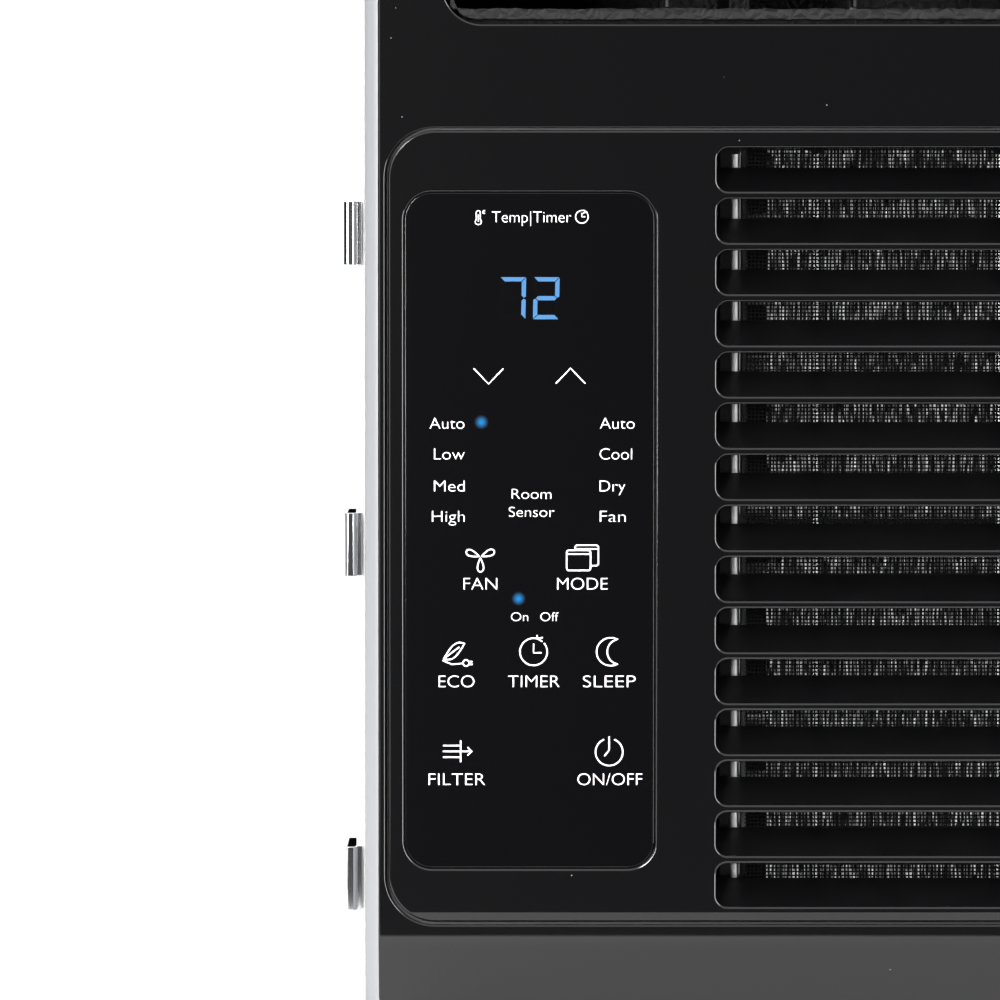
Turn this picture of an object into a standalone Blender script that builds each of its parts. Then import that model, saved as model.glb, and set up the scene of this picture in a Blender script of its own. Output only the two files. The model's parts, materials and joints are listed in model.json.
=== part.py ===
"""Window air conditioner: a steel case and base pan, a black front with an intake grille and
touch panel, a sliding air filter, an outlet with louvres and vanes, and the sealed cooling system.

Metres, +Z up.  The front faces -Y, the sill is z = 0 and the unit is centred on x = y = 0.
"""

import math

import bmesh
import bpy
from mathutils import Matrix, Vector

# ---------------------------------------------------------------- overall size
GAP = 0.0003  # clearance between two pieces that are fitted together
OVER = 0.001  # how far a cutter or a joined piece runs past the face it crosses
PAST = 0.01  # how far a long cutter runs past the piece it opens
SEAT_GAP = 0.0004  # clearance under a piece that stands on another
RUN_GAP = 0.0009  # clearance round the filter as it slides
SKIM = 0.0002  # smallest clearance, between faces that never touch
FRONT_WIDTH = 0.475        # black front, side to side
BODY_HEIGHT = 0.373        # sill to the case's top
BODY_DEPTH = 0.544         # front face to the case's rear edge
FRONT_PROUD = 0.060        # front frame ahead of the case's mouth
SEAT = 0.0004              # gap between pieces that seat on each other

# ---------------------------------------------------------------- case and base pan
CASE_LIP = 0.005           # case outside the front, all round
CASE_WALL = 0.001
CASE_HEM = 0.0046          # rolled front edge, its thickness
CASE_HEM_DEPTH = 0.012
CASE_CORNER = 0.014
CASE_GROUND = 0.004        # case's lower edge above the sill
VENT_COUNT = 10            # slots in each flank and in the top
VENT_PITCH = 0.014
VENT_HEIGHT = 0.005
VENT_LENGTH = 0.085
VENT_LOW = 0.170           # lowest flank slot
VENT_BACK = 0.222          # rear edge to the slots' front end
PAN_WALL = 0.0012
PAN_HEIGHT = 0.028
GUARD_RECESS = 0.009       # guard ahead of the case's rear edge
GUARD_WALL = 0.0012
GUARD_ROWS = 16
GUARD_COLUMNS = 3
GUARD_SLOT = 0.011
GUARD_RIM = 0.020
BULKHEAD_WALL = 0.0015
BULKHEAD_BACK = 0.206      # front face to the bulkhead

# ---------------------------------------------------------------- front frame
FRAME_WALL = 0.0024
FRAME_SKIRT = 0.016        # skirt that goes into the case's mouth
FRAME_CORNER = 0.010
FRAME_BOTTOM = 0.003
FRAME_EDGE = 0.006         # rounded top front edge
CHIN_HEIGHT = 0.033        # where the chin starts to slope back
CHIN_SLOPE = 0.008
LEDGE = 0.007              # ledge that the intake panel seats on
LEDGE_WALL = 0.002

# ---------------------------------------------------------------- intake panel
PANEL_SIDE = 0.0026        # front's edge to the panel
PANEL_LOW = 0.0352
PANEL_HIGH = 0.2682
PANEL_CORNER = 0.014
PANEL_WALL = 0.0028
PANEL_FIT = 0.0005
SLOT_COUNT = 15
SLOT_PITCH = 0.0150
SLOT_BAR = 0.0023          # between two slots
SLOT_CORNER = 0.003
SLOT_TOP = 0.2628
SLOT_LEFT = 0.0993         # front's left edge to the slots
SLOT_RIGHT = 0.0225        # slots to the front's right edge
BLADE_DEPTH = 0.0168
BLADE_RISE = 0.0076
BLADE_WALL = 0.0016

# ---------------------------------------------------------------- control panel
OVERLAY_LEFT = 0.0076      # front's left edge to the overlay
OVERLAY_WIDTH = 0.0736
OVERLAY_LOW = 0.0513
OVERLAY_HIGH = 0.2499
OVERLAY_CORNER = 0.0082
OVERLAY_WALL = 0.001
OVERLAY_SUNK = 0.0006
DISPLAY_WIDTH = 0.025
DISPLAY_HEIGHT = 0.019
DISPLAY_Z = 0.2189
DISPLAY_DEPTH = 0.0058
HOUSING_DEPTH = 0.026
HOUSING_WALL = 0.0018
BOARD_WALL = 0.0016

# ---------------------------------------------------------------- air filter
FILTER_BACK = 0.0214       # front face to the filter frame's front
FILTER_WALL = 0.0032
FILTER_BAR = 0.0065
FILTER_RIB = 0.003
FILTER_RIB_PITCH = 0.054
FILTER_FIRST_RIB = 0.029   # filter's left edge to the first rib
FILTER_LOW = 0.0385
FILTER_HIGH = 0.2650
MESH_WALL = 0.0009
RAIL_WALL = 0.002
RAIL_LAP = 0.0036
TAB_LENGTH = 0.060
TAB_WIDTH = 0.014
TAB_WALL = 0.0027

# ---------------------------------------------------------------- outlet, louvres and vanes
OUTLET_SIDE = 0.019        # front's edge to the outlet
OUTLET_DROP = 0.0173       # case's top to the outlet
OUTLET_HEIGHT = 0.056
OUTLET_CORNER = 0.010
DUCT_LIP = 0.010           # foam showing inside the outlet's sides
DUCT_FLOOR = 0.0043        # foam showing above the outlet's lower edge
DUCT_WALL = 0.012
DUCT_DEPTH = 0.079
LOUVRE_COUNT = 3
LOUVRE_PITCH = 0.015
LOUVRE_CHORD = 0.022
LOUVRE_WALL = 0.0022
LOUVRE_BACK = 0.022        # front face to the louvres' axes
VANE_COUNT = 3             # in each group
VANE_PITCH = 0.056
VANE_FIRST = 0.040         # centre line to the first vane
VANE_CHORD = 0.026
VANE_WALL = 0.0018
VANE_BACK = 0.053          # front face to the vanes' axes
PIN_RADIUS = 0.0019
PIN_FIT = 0.0003
LINK_PIN = 0.0011
LINK_FIT = 0.0004
LINK_WIDTH = 0.0052
LINK_WALL = 0.0024
LINK_ARM = 0.008           # louvre's axis to its link pin
VANE_ARM = 0.010           # vane's axis to its link pin
END_GAP = 0.001            # louvre or vane to the duct

# ---------------------------------------------------------------- fan and motor
AXLE_X = 0.040
AXLE_Z = 0.158
AXLE_RADIUS = 0.004
MOTOR_RADIUS = 0.060
MOTOR_LENGTH = 0.086
MOTOR_GAP = 0.018          # bulkhead to the motor's end bell
MOTOR_BOSS = 0.014
WHEEL_RADIUS = 0.088
WHEEL_INNER = 0.072
WHEEL_DEPTH = 0.090
WHEEL_BLADES = 28
WHEEL_WALL = 0.0040
FAN_RADIUS = 0.137
FAN_RING = 0.004
FAN_DEPTH = 0.026
FAN_HUB = 0.022
FAN_BLADES = 5
FAN_FROM_BACK = 0.156      # case's rear edge to the fan's centre
BRACKET_WALL = 0.0025

# ---------------------------------------------------------------- coils and air path
SCROLL_WALL = 0.006
SCROLL_RADIUS = 0.106
SCROLL_LEFT = 0.1055       # front's left edge to the scroll
SCROLL_RIGHT = 0.0215      # scroll to the front's right edge
SCROLL_FRONT = 0.084       # front face to the scroll
COIL_FRONT = 0.036         # front face to the evaporator
COIL_DEPTH = 0.036
COIL_LOW = 0.020
COIL_PLATE = 0.0014
CONDENSER_BACK = 0.040     # case's rear edge to the condenser
CONDENSER_DEPTH = 0.044
CONDENSER_SIDE = 0.0255    # front's edge to the condenser's fins
FIN_PITCH = 0.016
FIN_GROOVE = 0.003
TUBE_RADIUS = 0.0038
BEND_RADIUS = 0.0105
SHROUD_WALL = 0.002
SHROUD_DEPTH = 0.034
SHROUD_COLLAR = 0.004      # fan to the collar
COLLAR_DEPTH = 0.028

# ---------------------------------------------------------------- sealed system
COMPRESSOR_RADIUS = 0.058
COMPRESSOR_HEIGHT = 0.204
COMPRESSOR_SIDE = 0.0725   # front's left edge to the compressor's axis
COMPRESSOR_BACK = 0.076    # bulkhead to the compressor's axis
FOOT_RADIUS = 0.068
FOOT_Z = 0.0142
STUD_RADIUS = 0.004
GROMMET_RADIUS = 0.010
ACCUMULATOR_RADIUS = 0.020
ACCUMULATOR_HEIGHT = 0.110
PIPE_RADIUS = 0.0038
CAPILLARY_RADIUS = 0.0015
CAPILLARY_Z = 0.045        # where it runs along the left flank
DRIER_RADIUS = 0.009
DRIER_LENGTH = 0.048

# ---------------------------------------------------------------- electrics and side fittings
BOX_SIDE = 0.0035          # front's left edge to the electrical box
BOX_WIDTH = 0.074
BOX_FRONT = 0.042
BOX_BACK = 0.022           # electrical box to the bulkhead
BOX_LOW = 0.064
BOX_HIGH = 0.270
BOX_WALL = 0.0016
CAPACITOR_RADIUS = 0.020
CAPACITOR_HEIGHT = 0.072
GLAND_RADIUS = 0.009
GLAND_BORE = 0.0045
GLAND_PLACE = (0.045, 0.020)   # behind the front face, above the sill
RAIL_PROUD = 0.0024        # side rail outside the case
RAIL_FRONT = 0.082         # front face to the side rail
RAIL_DEPTH = 0.070
HOOK_PROUD = 0.0067        # hook outside the case
HOOK_FRONT = 0.076
HOOK_DEPTH = 0.032
HOOK_HEIGHT = 0.0193
HOOK_TOPS = {"upper": 0.2470, "middle": 0.1523, "lower": 0.0504}

# ---------------------------------------------------------------- places worked out from the sizes
HALF_WIDTH = FRONT_WIDTH / 2
CASE_X = HALF_WIDTH + CASE_LIP
FRONT_Y = -BODY_DEPTH / 2
BACK_Y = BODY_DEPTH / 2
MOUTH_Y = FRONT_Y + FRONT_PROUD
FRAME_TOP = BODY_HEIGHT - CASE_LIP
FRAME_BACK_Y = MOUTH_Y + FRAME_SKIRT
PAN_X = CASE_X - CASE_WALL - SEAT
PAN_FRONT_Y = FRAME_BACK_Y + 0.002
PAN_BACK_Y = BACK_Y - 0.002
INNER_TOP = BODY_HEIGHT - CASE_WALL
BULKHEAD_Y = FRONT_Y + BULKHEAD_BACK
PANEL_X = HALF_WIDTH - PANEL_SIDE
PANEL_BACK_Y = FRONT_Y + PANEL_WALL
LEDGE_Y = PANEL_BACK_Y + 0.0003
SLOT_HEIGHT = SLOT_PITCH - SLOT_BAR
SLOT_X0 = -HALF_WIDTH + SLOT_LEFT
SLOT_X1 = HALF_WIDTH - SLOT_RIGHT
OVERLAY_X0 = -HALF_WIDTH + OVERLAY_LEFT
OVERLAY_X1 = OVERLAY_X0 + OVERLAY_WIDTH
OVERLAY_MID_X = (OVERLAY_X0 + OVERLAY_X1) / 2
FILTER_X0 = SLOT_X0 + 0.0012
FILTER_X1 = HALF_WIDTH - 0.001
FILTER_Y = FRONT_Y + FILTER_BACK
OUTLET_X = HALF_WIDTH - OUTLET_SIDE
OUTLET_Z1 = BODY_HEIGHT - OUTLET_DROP
OUTLET_Z0 = OUTLET_Z1 - OUTLET_HEIGHT
DUCT_X = OUTLET_X - DUCT_LIP
DUCT_Z0 = OUTLET_Z0 + DUCT_FLOOR
DUCT_Z1 = OUTLET_Z1 - DUCT_FLOOR
DUCT_Y0 = FRONT_Y + FRAME_WALL + SEAT
DUCT_Y1 = DUCT_Y0 + DUCT_DEPTH
LOUVRE_Y = FRONT_Y + LOUVRE_BACK
VANE_Y = FRONT_Y + VANE_BACK
SCROLL_X0 = -HALF_WIDTH + SCROLL_LEFT
SCROLL_X1 = HALF_WIDTH - SCROLL_RIGHT
SCROLL_Y0 = FRONT_Y + SCROLL_FRONT
SCROLL_Y1 = BULKHEAD_Y - 0.006
SCROLL_Z0 = COIL_LOW + 0.004
SCROLL_Z1 = OUTLET_Z1 + 0.002
WHEEL_Y1 = SCROLL_Y1 - SCROLL_WALL - 0.008
WHEEL_Y0 = WHEEL_Y1 - WHEEL_DEPTH
MOTOR_Y0 = BULKHEAD_Y + MOTOR_GAP
MOTOR_Y1 = MOTOR_Y0 + MOTOR_LENGTH
FAN_Y = BACK_Y - FAN_FROM_BACK
COIL_Y0 = FRONT_Y + COIL_FRONT
COIL_Y1 = COIL_Y0 + COIL_DEPTH
COIL_TOP = OUTLET_Z0 - DUCT_WALL - 0.003
CONDENSER_Y1 = BACK_Y - CONDENSER_BACK
CONDENSER_Y0 = CONDENSER_Y1 - CONDENSER_DEPTH
CONDENSER_X = HALF_WIDTH - CONDENSER_SIDE
CONDENSER_LOW = PAN_WALL + 0.005
CONDENSER_TOP = INNER_TOP - 0.022
SHROUD_X = PAN_X - PAN_WALL - 0.006
SHROUD_Y1 = CONDENSER_Y0 - 0.003
SHROUD_Y0 = SHROUD_Y1 - SHROUD_DEPTH
SHROUD_TOP = CONDENSER_TOP + 0.002
COMPRESSOR_X = -HALF_WIDTH + COMPRESSOR_SIDE
COMPRESSOR_Y = BULKHEAD_Y + COMPRESSOR_BACK
COMPRESSOR_Z0 = FOOT_Z + 0.004
COMPRESSOR_Z1 = COMPRESSOR_Z0 + COMPRESSOR_HEIGHT
BOX_X0 = -HALF_WIDTH + BOX_SIDE
BOX_X1 = BOX_X0 + BOX_WIDTH
BOX_Y0 = FRONT_Y + BOX_FRONT
BOX_Y1 = BULKHEAD_Y - BOX_BACK
PIPE_LANE_X = (BOX_X1 + SCROLL_X0 - 0.014) / 2
DRIER_X = -PAN_X + 0.018
DRIER_Z = 0.030

AXES = {"X": (1, 2, 0), "Y": (0, 2, 1), "Z": (0, 1, 2)}

# name: (colour, roughness, metallic)
MATERIALS = {
    "case_grey": ((0.70, 0.70, 0.71), 0.40, 0.0),
    "galvanised": ((0.62, 0.63, 0.64), 0.42, 0.9),
    "black_gloss": ((0.012, 0.012, 0.013), 0.18, 0.0),
    "black_satin": ((0.02, 0.02, 0.022), 0.45, 0.0),
    "overlay_black": ((0.008, 0.008, 0.009), 0.12, 0.0),
    "filter_mesh": ((0.35, 0.36, 0.37), 0.60, 0.0),
    "duct_foam": ((0.09, 0.09, 0.09), 0.85, 0.0),
    "white_foam": ((0.82, 0.82, 0.80), 0.90, 0.0),
    "aluminium": ((0.80, 0.81, 0.82), 0.35, 0.9),
    "copper": ((0.80, 0.42, 0.26), 0.30, 1.0),
    "bright_steel": ((0.85, 0.85, 0.86), 0.15, 1.0),
    "black_enamel": ((0.02, 0.02, 0.022), 0.35, 0.0),
    "rubber": ((0.025, 0.025, 0.025), 0.80, 0.0),
    "board_green": ((0.03, 0.17, 0.08), 0.50, 0.0),
    "display_grey": ((0.10, 0.10, 0.11), 0.35, 0.0),
    "fan_white": ((0.75, 0.75, 0.73), 0.50, 0.0),
}


# ---------------------------------------------------------------- mesh helpers
def mesh_of(vertices, faces):
    """A closed mesh with its faces turned outwards."""
    mesh = bpy.data.meshes.new("solid")
    bm = bmesh.new()
    made = [bm.verts.new(vertex) for vertex in vertices]
    for face in faces:
        bm.faces.new([made[index] for index in face])
    bmesh.ops.recalc_face_normals(bm, faces=bm.faces)
    bm.to_mesh(mesh)
    bm.free()
    return mesh


def place(axis, u, v, along):
    """A point from two coordinates across an axis and one along it."""
    point = [0.0, 0.0, 0.0]
    first, second, third = AXES[axis]
    point[first], point[second], point[third] = u, v, along
    return Vector(point)


def prism(outline, axis, start, end):
    """An outline drawn across an axis, extruded along it."""
    count = len(outline)
    vertices = [place(axis, u, v, start) for u, v in outline]
    vertices += [place(axis, u, v, end) for u, v in outline]
    faces = [list(range(count)), list(range(count, 2 * count))]
    for i in range(count):
        j = (i + 1) % count
        faces.append([i, j, count + j, count + i])
    return mesh_of(vertices, faces)


def box(x0, x1, y0, y1, z0, z1):
    return prism([(x0, z0), (x1, z0), (x1, z1), (x0, z1)], "Y", y0, y1)


def circle(u, v, radius, steps, first=0.0):
    turn = 2 * math.pi / steps
    angles = [first + i * turn for i in range(steps)]
    return [(u + radius * math.cos(a), v + radius * math.sin(a)) for a in angles]


def arc(u, v, radius, start, end, steps):
    angles = [math.radians(start + (end - start) * i / steps) for i in range(steps + 1)]
    return [(u + radius * math.cos(a), v + radius * math.sin(a)) for a in angles]


def rounded(u0, u1, v0, v1, radius, steps=4):
    """A rectangle with round corners."""
    points = arc(u1 - radius, v1 - radius, radius, 0, 90, steps)
    points += arc(u0 + radius, v1 - radius, radius, 90, 180, steps)
    points += arc(u0 + radius, v0 + radius, radius, 180, 270, steps)
    points += arc(u1 - radius, v0 + radius, radius, 270, 360, steps)
    return points


def round_topped(half, low, high, radius, steps=4):
    """A plate's outline with its two upper corners round."""
    points = [(-half, low), (half, low)]
    points += arc(half - radius, high - radius, radius, 0, 90, steps)
    points += arc(-half + radius, high - radius, radius, 90, 180, steps)
    return points


def turned(profile, axis, u, v, steps):
    """A profile of (radius, along) turned about an axis; a closed loop gives a bore."""
    bored = min(radius for radius, _ in profile) > 0
    rings = []
    vertices = []
    for radius, along in profile:
        if radius <= 0:
            rings.append([len(vertices)] * steps)
            vertices.append(place(axis, u, v, along))
            continue
        rings.append(list(range(len(vertices), len(vertices) + steps)))
        vertices += [place(axis, a, b, along) for a, b in circle(u, v, radius, steps)]
    if bored:
        rings.append(rings[0])
    faces = []
    for ring, following in zip(rings, rings[1:]):
        for i in range(steps):
            j = (i + 1) % steps
            face = [ring[i], ring[j], following[j], following[i]]
            corners = list(dict.fromkeys(face))
            if len(corners) > 2:
                faces.append(corners)
    return mesh_of(vertices, faces)


def rod(axis, u, v, radius, start, end, steps=12):
    return prism(circle(u, v, radius, steps), axis, start, end)


def together(meshes):
    """Meshes that don't touch, as one mesh, for use as a cutter."""
    bm = bmesh.new()
    for mesh in meshes:
        bm.from_mesh(mesh)
    joined = bpy.data.meshes.new("group")
    bm.to_mesh(joined)
    bm.free()
    return joined


def combined(first, second, operation):
    """The exact union, difference or intersection of two meshes."""
    body = bpy.data.objects.new("body", first)
    tool = bpy.data.objects.new("tool", second)
    for item in (body, tool):
        bpy.context.scene.collection.objects.link(item)
    modifier = body.modifiers.new("boolean", "BOOLEAN")
    modifier.operation = operation
    modifier.solver = "EXACT"
    modifier.object = tool
    depsgraph = bpy.context.evaluated_depsgraph_get()
    result = bpy.data.meshes.new_from_object(body.evaluated_get(depsgraph))
    bpy.data.objects.remove(body)
    bpy.data.objects.remove(tool)
    return result


def union(meshes):
    result = meshes[0]
    for mesh in meshes[1:]:
        result = combined(result, mesh, "UNION")
    return result


def cut(mesh, cutters):
    return combined(mesh, together(cutters), "DIFFERENCE")


def common(first, second):
    return combined(first, second, "INTERSECT")


def material(name):
    found = bpy.data.materials.get(name)
    if found:
        return found
    colour, roughness, metallic = MATERIALS[name]
    made = bpy.data.materials.new(name)
    made.use_nodes = True
    shader = made.node_tree.nodes["Principled BSDF"]
    shader.inputs["Base Color"].default_value = (*colour, 1.0)
    shader.inputs["Roughness"].default_value = roughness
    shader.inputs["Metallic"].default_value = metallic
    made.diffuse_color = (*colour, 1.0)
    return made


def piece(name, mesh, material_name, origin=(0.0, 0.0, 0.0)):
    """A named object whose origin is at the given point."""
    mesh.name = name
    mesh.transform(Matrix.Translation(-Vector(origin)))
    mesh.materials.clear()
    mesh.materials.append(material(material_name))
    mesh.shade_smooth()
    mesh.set_sharp_from_angle(angle=math.radians(32))
    made = bpy.data.objects.new(name, mesh)
    made.location = origin
    bpy.context.scene.collection.objects.link(made)
    return made


def smooth_route(points, spacing):
    """A smooth run through the given points, sampled at about even spacing."""
    route = [Vector(point) for point in points]
    ends = [2 * route[0] - route[1]] + route + [2 * route[-1] - route[-2]]
    samples = []
    for i in range(1, len(ends) - 2):
        before, start, stop, after = ends[i - 1:i + 3]
        steps = max(2, round((stop - start).length / spacing))
        for step in range(steps):
            t = step / steps
            blend = (start * 2 + (stop - before) * t
                     + (before * 2 - start * 5 + stop * 4 - after) * t ** 2
                     + (start * 3 - before - stop * 3 + after) * t ** 3)
            samples.append(blend / 2)
    samples.append(route[-1])
    return samples


def pipe(name, samples, radius, material_name, sides=2):
    """A tube along a run of points, as a curve with a bevel."""
    curve = bpy.data.curves.new(name, "CURVE")
    curve.dimensions = "3D"
    curve.bevel_depth = radius
    curve.bevel_resolution = sides
    curve.use_fill_caps = True
    spline = curve.splines.new("POLY")
    spline.points.add(len(samples) - 1)
    for point, sample in zip(spline.points, samples):
        point.co = (*sample, 1.0)
    curve.materials.append(material(material_name))
    made = bpy.data.objects.new(name, curve)
    bpy.context.scene.collection.objects.link(made)
    return made


# ---------------------------------------------------------------- case and base
def case_wrap():
    """Sheet bent over both flanks and the top, its front edge rolled inwards."""
    corner = CASE_CORNER
    path = [(-CASE_X, CASE_GROUND, -1.0, 0.0)]
    for side, angles in ((-1, (180, 90)), (1, (90, 0))):
        for i in range(6):
            a = math.radians(angles[0] + (angles[1] - angles[0]) * i / 5)
            x = side * (CASE_X - corner) + corner * math.cos(a)
            z = BODY_HEIGHT - corner + corner * math.sin(a)
            path.append((x, z, math.cos(a), math.sin(a)))
    path.append((CASE_X, CASE_GROUND, 1.0, 0.0))
    section = [(0.0, BACK_Y)]
    section += [(CASE_HEM - u, y) for u, y in arc(0, MOUTH_Y + CASE_HEM, CASE_HEM, 0, -90, 4)]
    section += [(CASE_HEM, MOUTH_Y + CASE_HEM_DEPTH), (CASE_WALL, MOUTH_Y + CASE_HEM_DEPTH)]
    section += [(CASE_WALL, BACK_Y)]
    vertices = []
    for x, z, nx, nz in path:
        vertices += [(x - nx * inset, y, z - nz * inset) for inset, y in section]
    count = len(section)
    faces = [list(range(count)), [len(vertices) - count + i for i in range(count)]]
    for i in range(len(path) - 1):
        for j in range(count):
            k = (j + 1) % count
            faces.append([i * count + j, i * count + k, (i + 1) * count + k, (i + 1) * count + j])
    shell = mesh_of(vertices, faces)
    y0 = BACK_Y - VENT_BACK
    y1 = y0 + VENT_LENGTH
    vents = []
    for i in range(VENT_COUNT):
        z = VENT_LOW + i * VENT_PITCH
        for side in (-1, 1):
            x0, x1 = sorted((side * (CASE_X - 0.003), side * (CASE_X + OVER)))
            vents.append(box(x0, x1, y0, y1, z, z + VENT_HEIGHT))
        x = (i - (VENT_COUNT - 1) / 2) * VENT_PITCH * 2
        vents.append(box(x, x + VENT_HEIGHT, y0, y1, INNER_TOP - 0.002, BODY_HEIGHT + OVER))
    return piece("case_wrap", cut(shell, vents), "case_grey")


def stud_places():
    turns = [math.radians(90 + 120 * i) for i in range(3)]
    return [(COMPRESSOR_X + FOOT_RADIUS * math.cos(a), COMPRESSOR_Y + FOOT_RADIUS * math.sin(a))
            for a in turns]


def base_pan():
    """Shallow steel tray that carries everything, with the compressor's studs."""
    outer = box(-PAN_X, PAN_X, PAN_FRONT_Y, PAN_BACK_Y, 0, PAN_HEIGHT)
    hollow = box(-PAN_X + PAN_WALL, PAN_X - PAN_WALL, PAN_FRONT_Y + PAN_WALL,
                 PAN_BACK_Y - PAN_WALL, PAN_WALL, PAN_HEIGHT + PAST)
    drain = rod("Z", AXLE_X + 0.13, PAN_BACK_Y - 0.012, 0.006, -PAST, PAN_WALL + OVER)
    tray = cut(outer, [hollow, drain])
    studs = [rod("Z", x, y, STUD_RADIUS, PAN_WALL / 2, FOOT_Z + 0.013) for x, y in stud_places()]
    return piece("base_pan", union([tray] + studs), "galvanised")


def rear_guard():
    """Slotted sheet across the back, ahead of the case's rear edge."""
    half = PAN_X - PAN_WALL - OVER
    low, high = PAN_WALL + 0.002, INNER_TOP - OVER
    y = BACK_Y - GUARD_RECESS
    sheet = prism(round_topped(half, low, high, CASE_CORNER), "Y", y, y + GUARD_WALL)
    width = (2 * (half - GUARD_RIM) + GUARD_RIM / 2) / GUARD_COLUMNS
    pitch = (high - low - 2 * GUARD_RIM) / GUARD_ROWS
    slots = []
    for column in range(GUARD_COLUMNS):
        x = -half + GUARD_RIM + column * width
        for row in range(GUARD_ROWS):
            z = low + GUARD_RIM + (row + 0.5) * pitch - GUARD_SLOT / 2
            slots.append(box(x, x + width - GUARD_RIM / 2, y - OVER, y + 0.003, z, z + GUARD_SLOT))
    return piece("rear_guard", cut(sheet, slots), "galvanised")


def bulkhead():
    """Sheet wall between the room side and the outdoor side."""
    half = PAN_X - PAN_WALL - OVER
    outline = round_topped(half, PAN_WALL + SEAT, INNER_TOP - SEAT, CASE_CORNER)
    sheet = prism(outline, "Y", BULKHEAD_Y, BULKHEAD_Y + BULKHEAD_WALL)
    y0, y1 = BULKHEAD_Y - OVER, BULKHEAD_Y + 0.003
    pass_holes = [rod("Y", AXLE_X, AXLE_Z, MOTOR_BOSS + 0.002, y0, y1, 24),
                  rod("Y", PIPE_LANE_X, COIL_TOP - 0.007, PIPE_RADIUS + 0.002, y0, y1),
                  rod("Y", -PAN_X + 0.013, CAPILLARY_Z, CAPILLARY_RADIUS + 0.002, y0, y1)]
    return piece("bulkhead", cut(sheet, pass_holes), "galvanised")


# ---------------------------------------------------------------- front
def front_profile(inset, back):
    """The front's side view: rounded top edge, flat face and a chin that slopes back."""
    y = FRONT_Y + inset
    top = FRAME_TOP - inset
    low = FRAME_BOTTOM + inset
    edge = max(FRAME_EDGE - inset, OVER)
    points = [(back, low), (back, top)]
    points += arc(y + edge, top - edge, edge, 90, 180, 4)
    points += [(y, CHIN_HEIGHT), (y + CHIN_SLOPE, low + edge)]
    points += [(y + CHIN_SLOPE + edge * 0.3, low + edge * 0.3), (y + CHIN_SLOPE + edge, low)]
    return points


def frame_solid(inset, back):
    half = HALF_WIDTH - inset
    corner = FRAME_CORNER - inset
    face = rounded(-half, half, FRAME_BOTTOM + inset, FRAME_TOP - inset, corner)
    block = prism(face, "Y", FRONT_Y - 0.002, back)
    return common(block, prism(front_profile(inset, back + 0.002), "X", -CASE_X, CASE_X))


def filter_rail(z_closed, z_open):
    """Channel across the frame that the filter's edge runs in."""
    y0 = FILTER_Y - MESH_WALL - RUN_GAP
    y1 = FILTER_Y + FILTER_WALL + RUN_GAP
    closed = z_closed + math.copysign(RAIL_WALL, z_closed - z_open)
    outline = [(y0 - RAIL_WALL, closed), (y1 + RAIL_WALL, closed), (y1 + RAIL_WALL, z_open),
               (y1, z_open), (y1, z_closed), (y0, z_closed), (y0, z_open), (y0 - RAIL_WALL, z_open)]
    half = HALF_WIDTH - FRAME_WALL / 2
    return prism(outline, "X", -half, half)


def front_frame():
    """Black moulded front: outlet at the top, ledge for the intake panel, filter rails."""
    shell = cut(frame_solid(0.0, FRAME_BACK_Y), [frame_solid(FRAME_WALL, FRAME_BACK_Y + PAST)])
    lip = HALF_WIDTH - FRAME_WALL / 2
    inner_x = PANEL_X - LEDGE
    fence = prism(rounded(-lip, lip, PANEL_LOW - 0.004, PANEL_HIGH + 0.004, FRAME_WALL),
                  "Y", LEDGE_Y, LEDGE_Y + LEDGE_WALL)
    opening = rounded(-inner_x, inner_x, PANEL_LOW + 0.0034, PANEL_HIGH - 0.0036, PANEL_CORNER / 2)
    ledge = cut(fence, [prism(opening, "Y", LEDGE_Y - PAST, LEDGE_Y + PAST)])
    rails = [filter_rail(FILTER_LOW - GAP, FILTER_LOW + RAIL_LAP),
             filter_rail(FILTER_HIGH + GAP, FILTER_HIGH - RAIL_LAP)]
    body = union([shell, ledge] + rails)
    fit = PANEL_FIT
    hole = rounded(-PANEL_X - fit, PANEL_X + fit, PANEL_LOW - fit, PANEL_HIGH + fit,
                   PANEL_CORNER + fit)
    outlet = rounded(-OUTLET_X, OUTLET_X, OUTLET_Z0, OUTLET_Z1, OUTLET_CORNER)
    gland_y, gland_z = FRONT_Y + GLAND_PLACE[0], GLAND_PLACE[1]
    cutters = [prism(hole, "Y", FRONT_Y - PAST, LEDGE_Y - SKIM),
               prism(outlet, "Y", FRONT_Y - PAST, FRONT_Y + 0.005),
               box(HALF_WIDTH - 0.008, HALF_WIDTH + 0.004, FILTER_Y - MESH_WALL - RUN_GAP,
                   FILTER_Y + FILTER_WALL + RUN_GAP, FILTER_LOW - GAP, FILTER_HIGH + GAP),
               rod("X", gland_y, gland_z, GLAND_RADIUS, HALF_WIDTH - PAST, HALF_WIDTH + PAST, 20)]
    return piece("front_frame", cut(body, cutters), "black_gloss")


def slot_tops():
    return [SLOT_TOP - i * SLOT_PITCH for i in range(SLOT_COUNT)]


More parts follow.
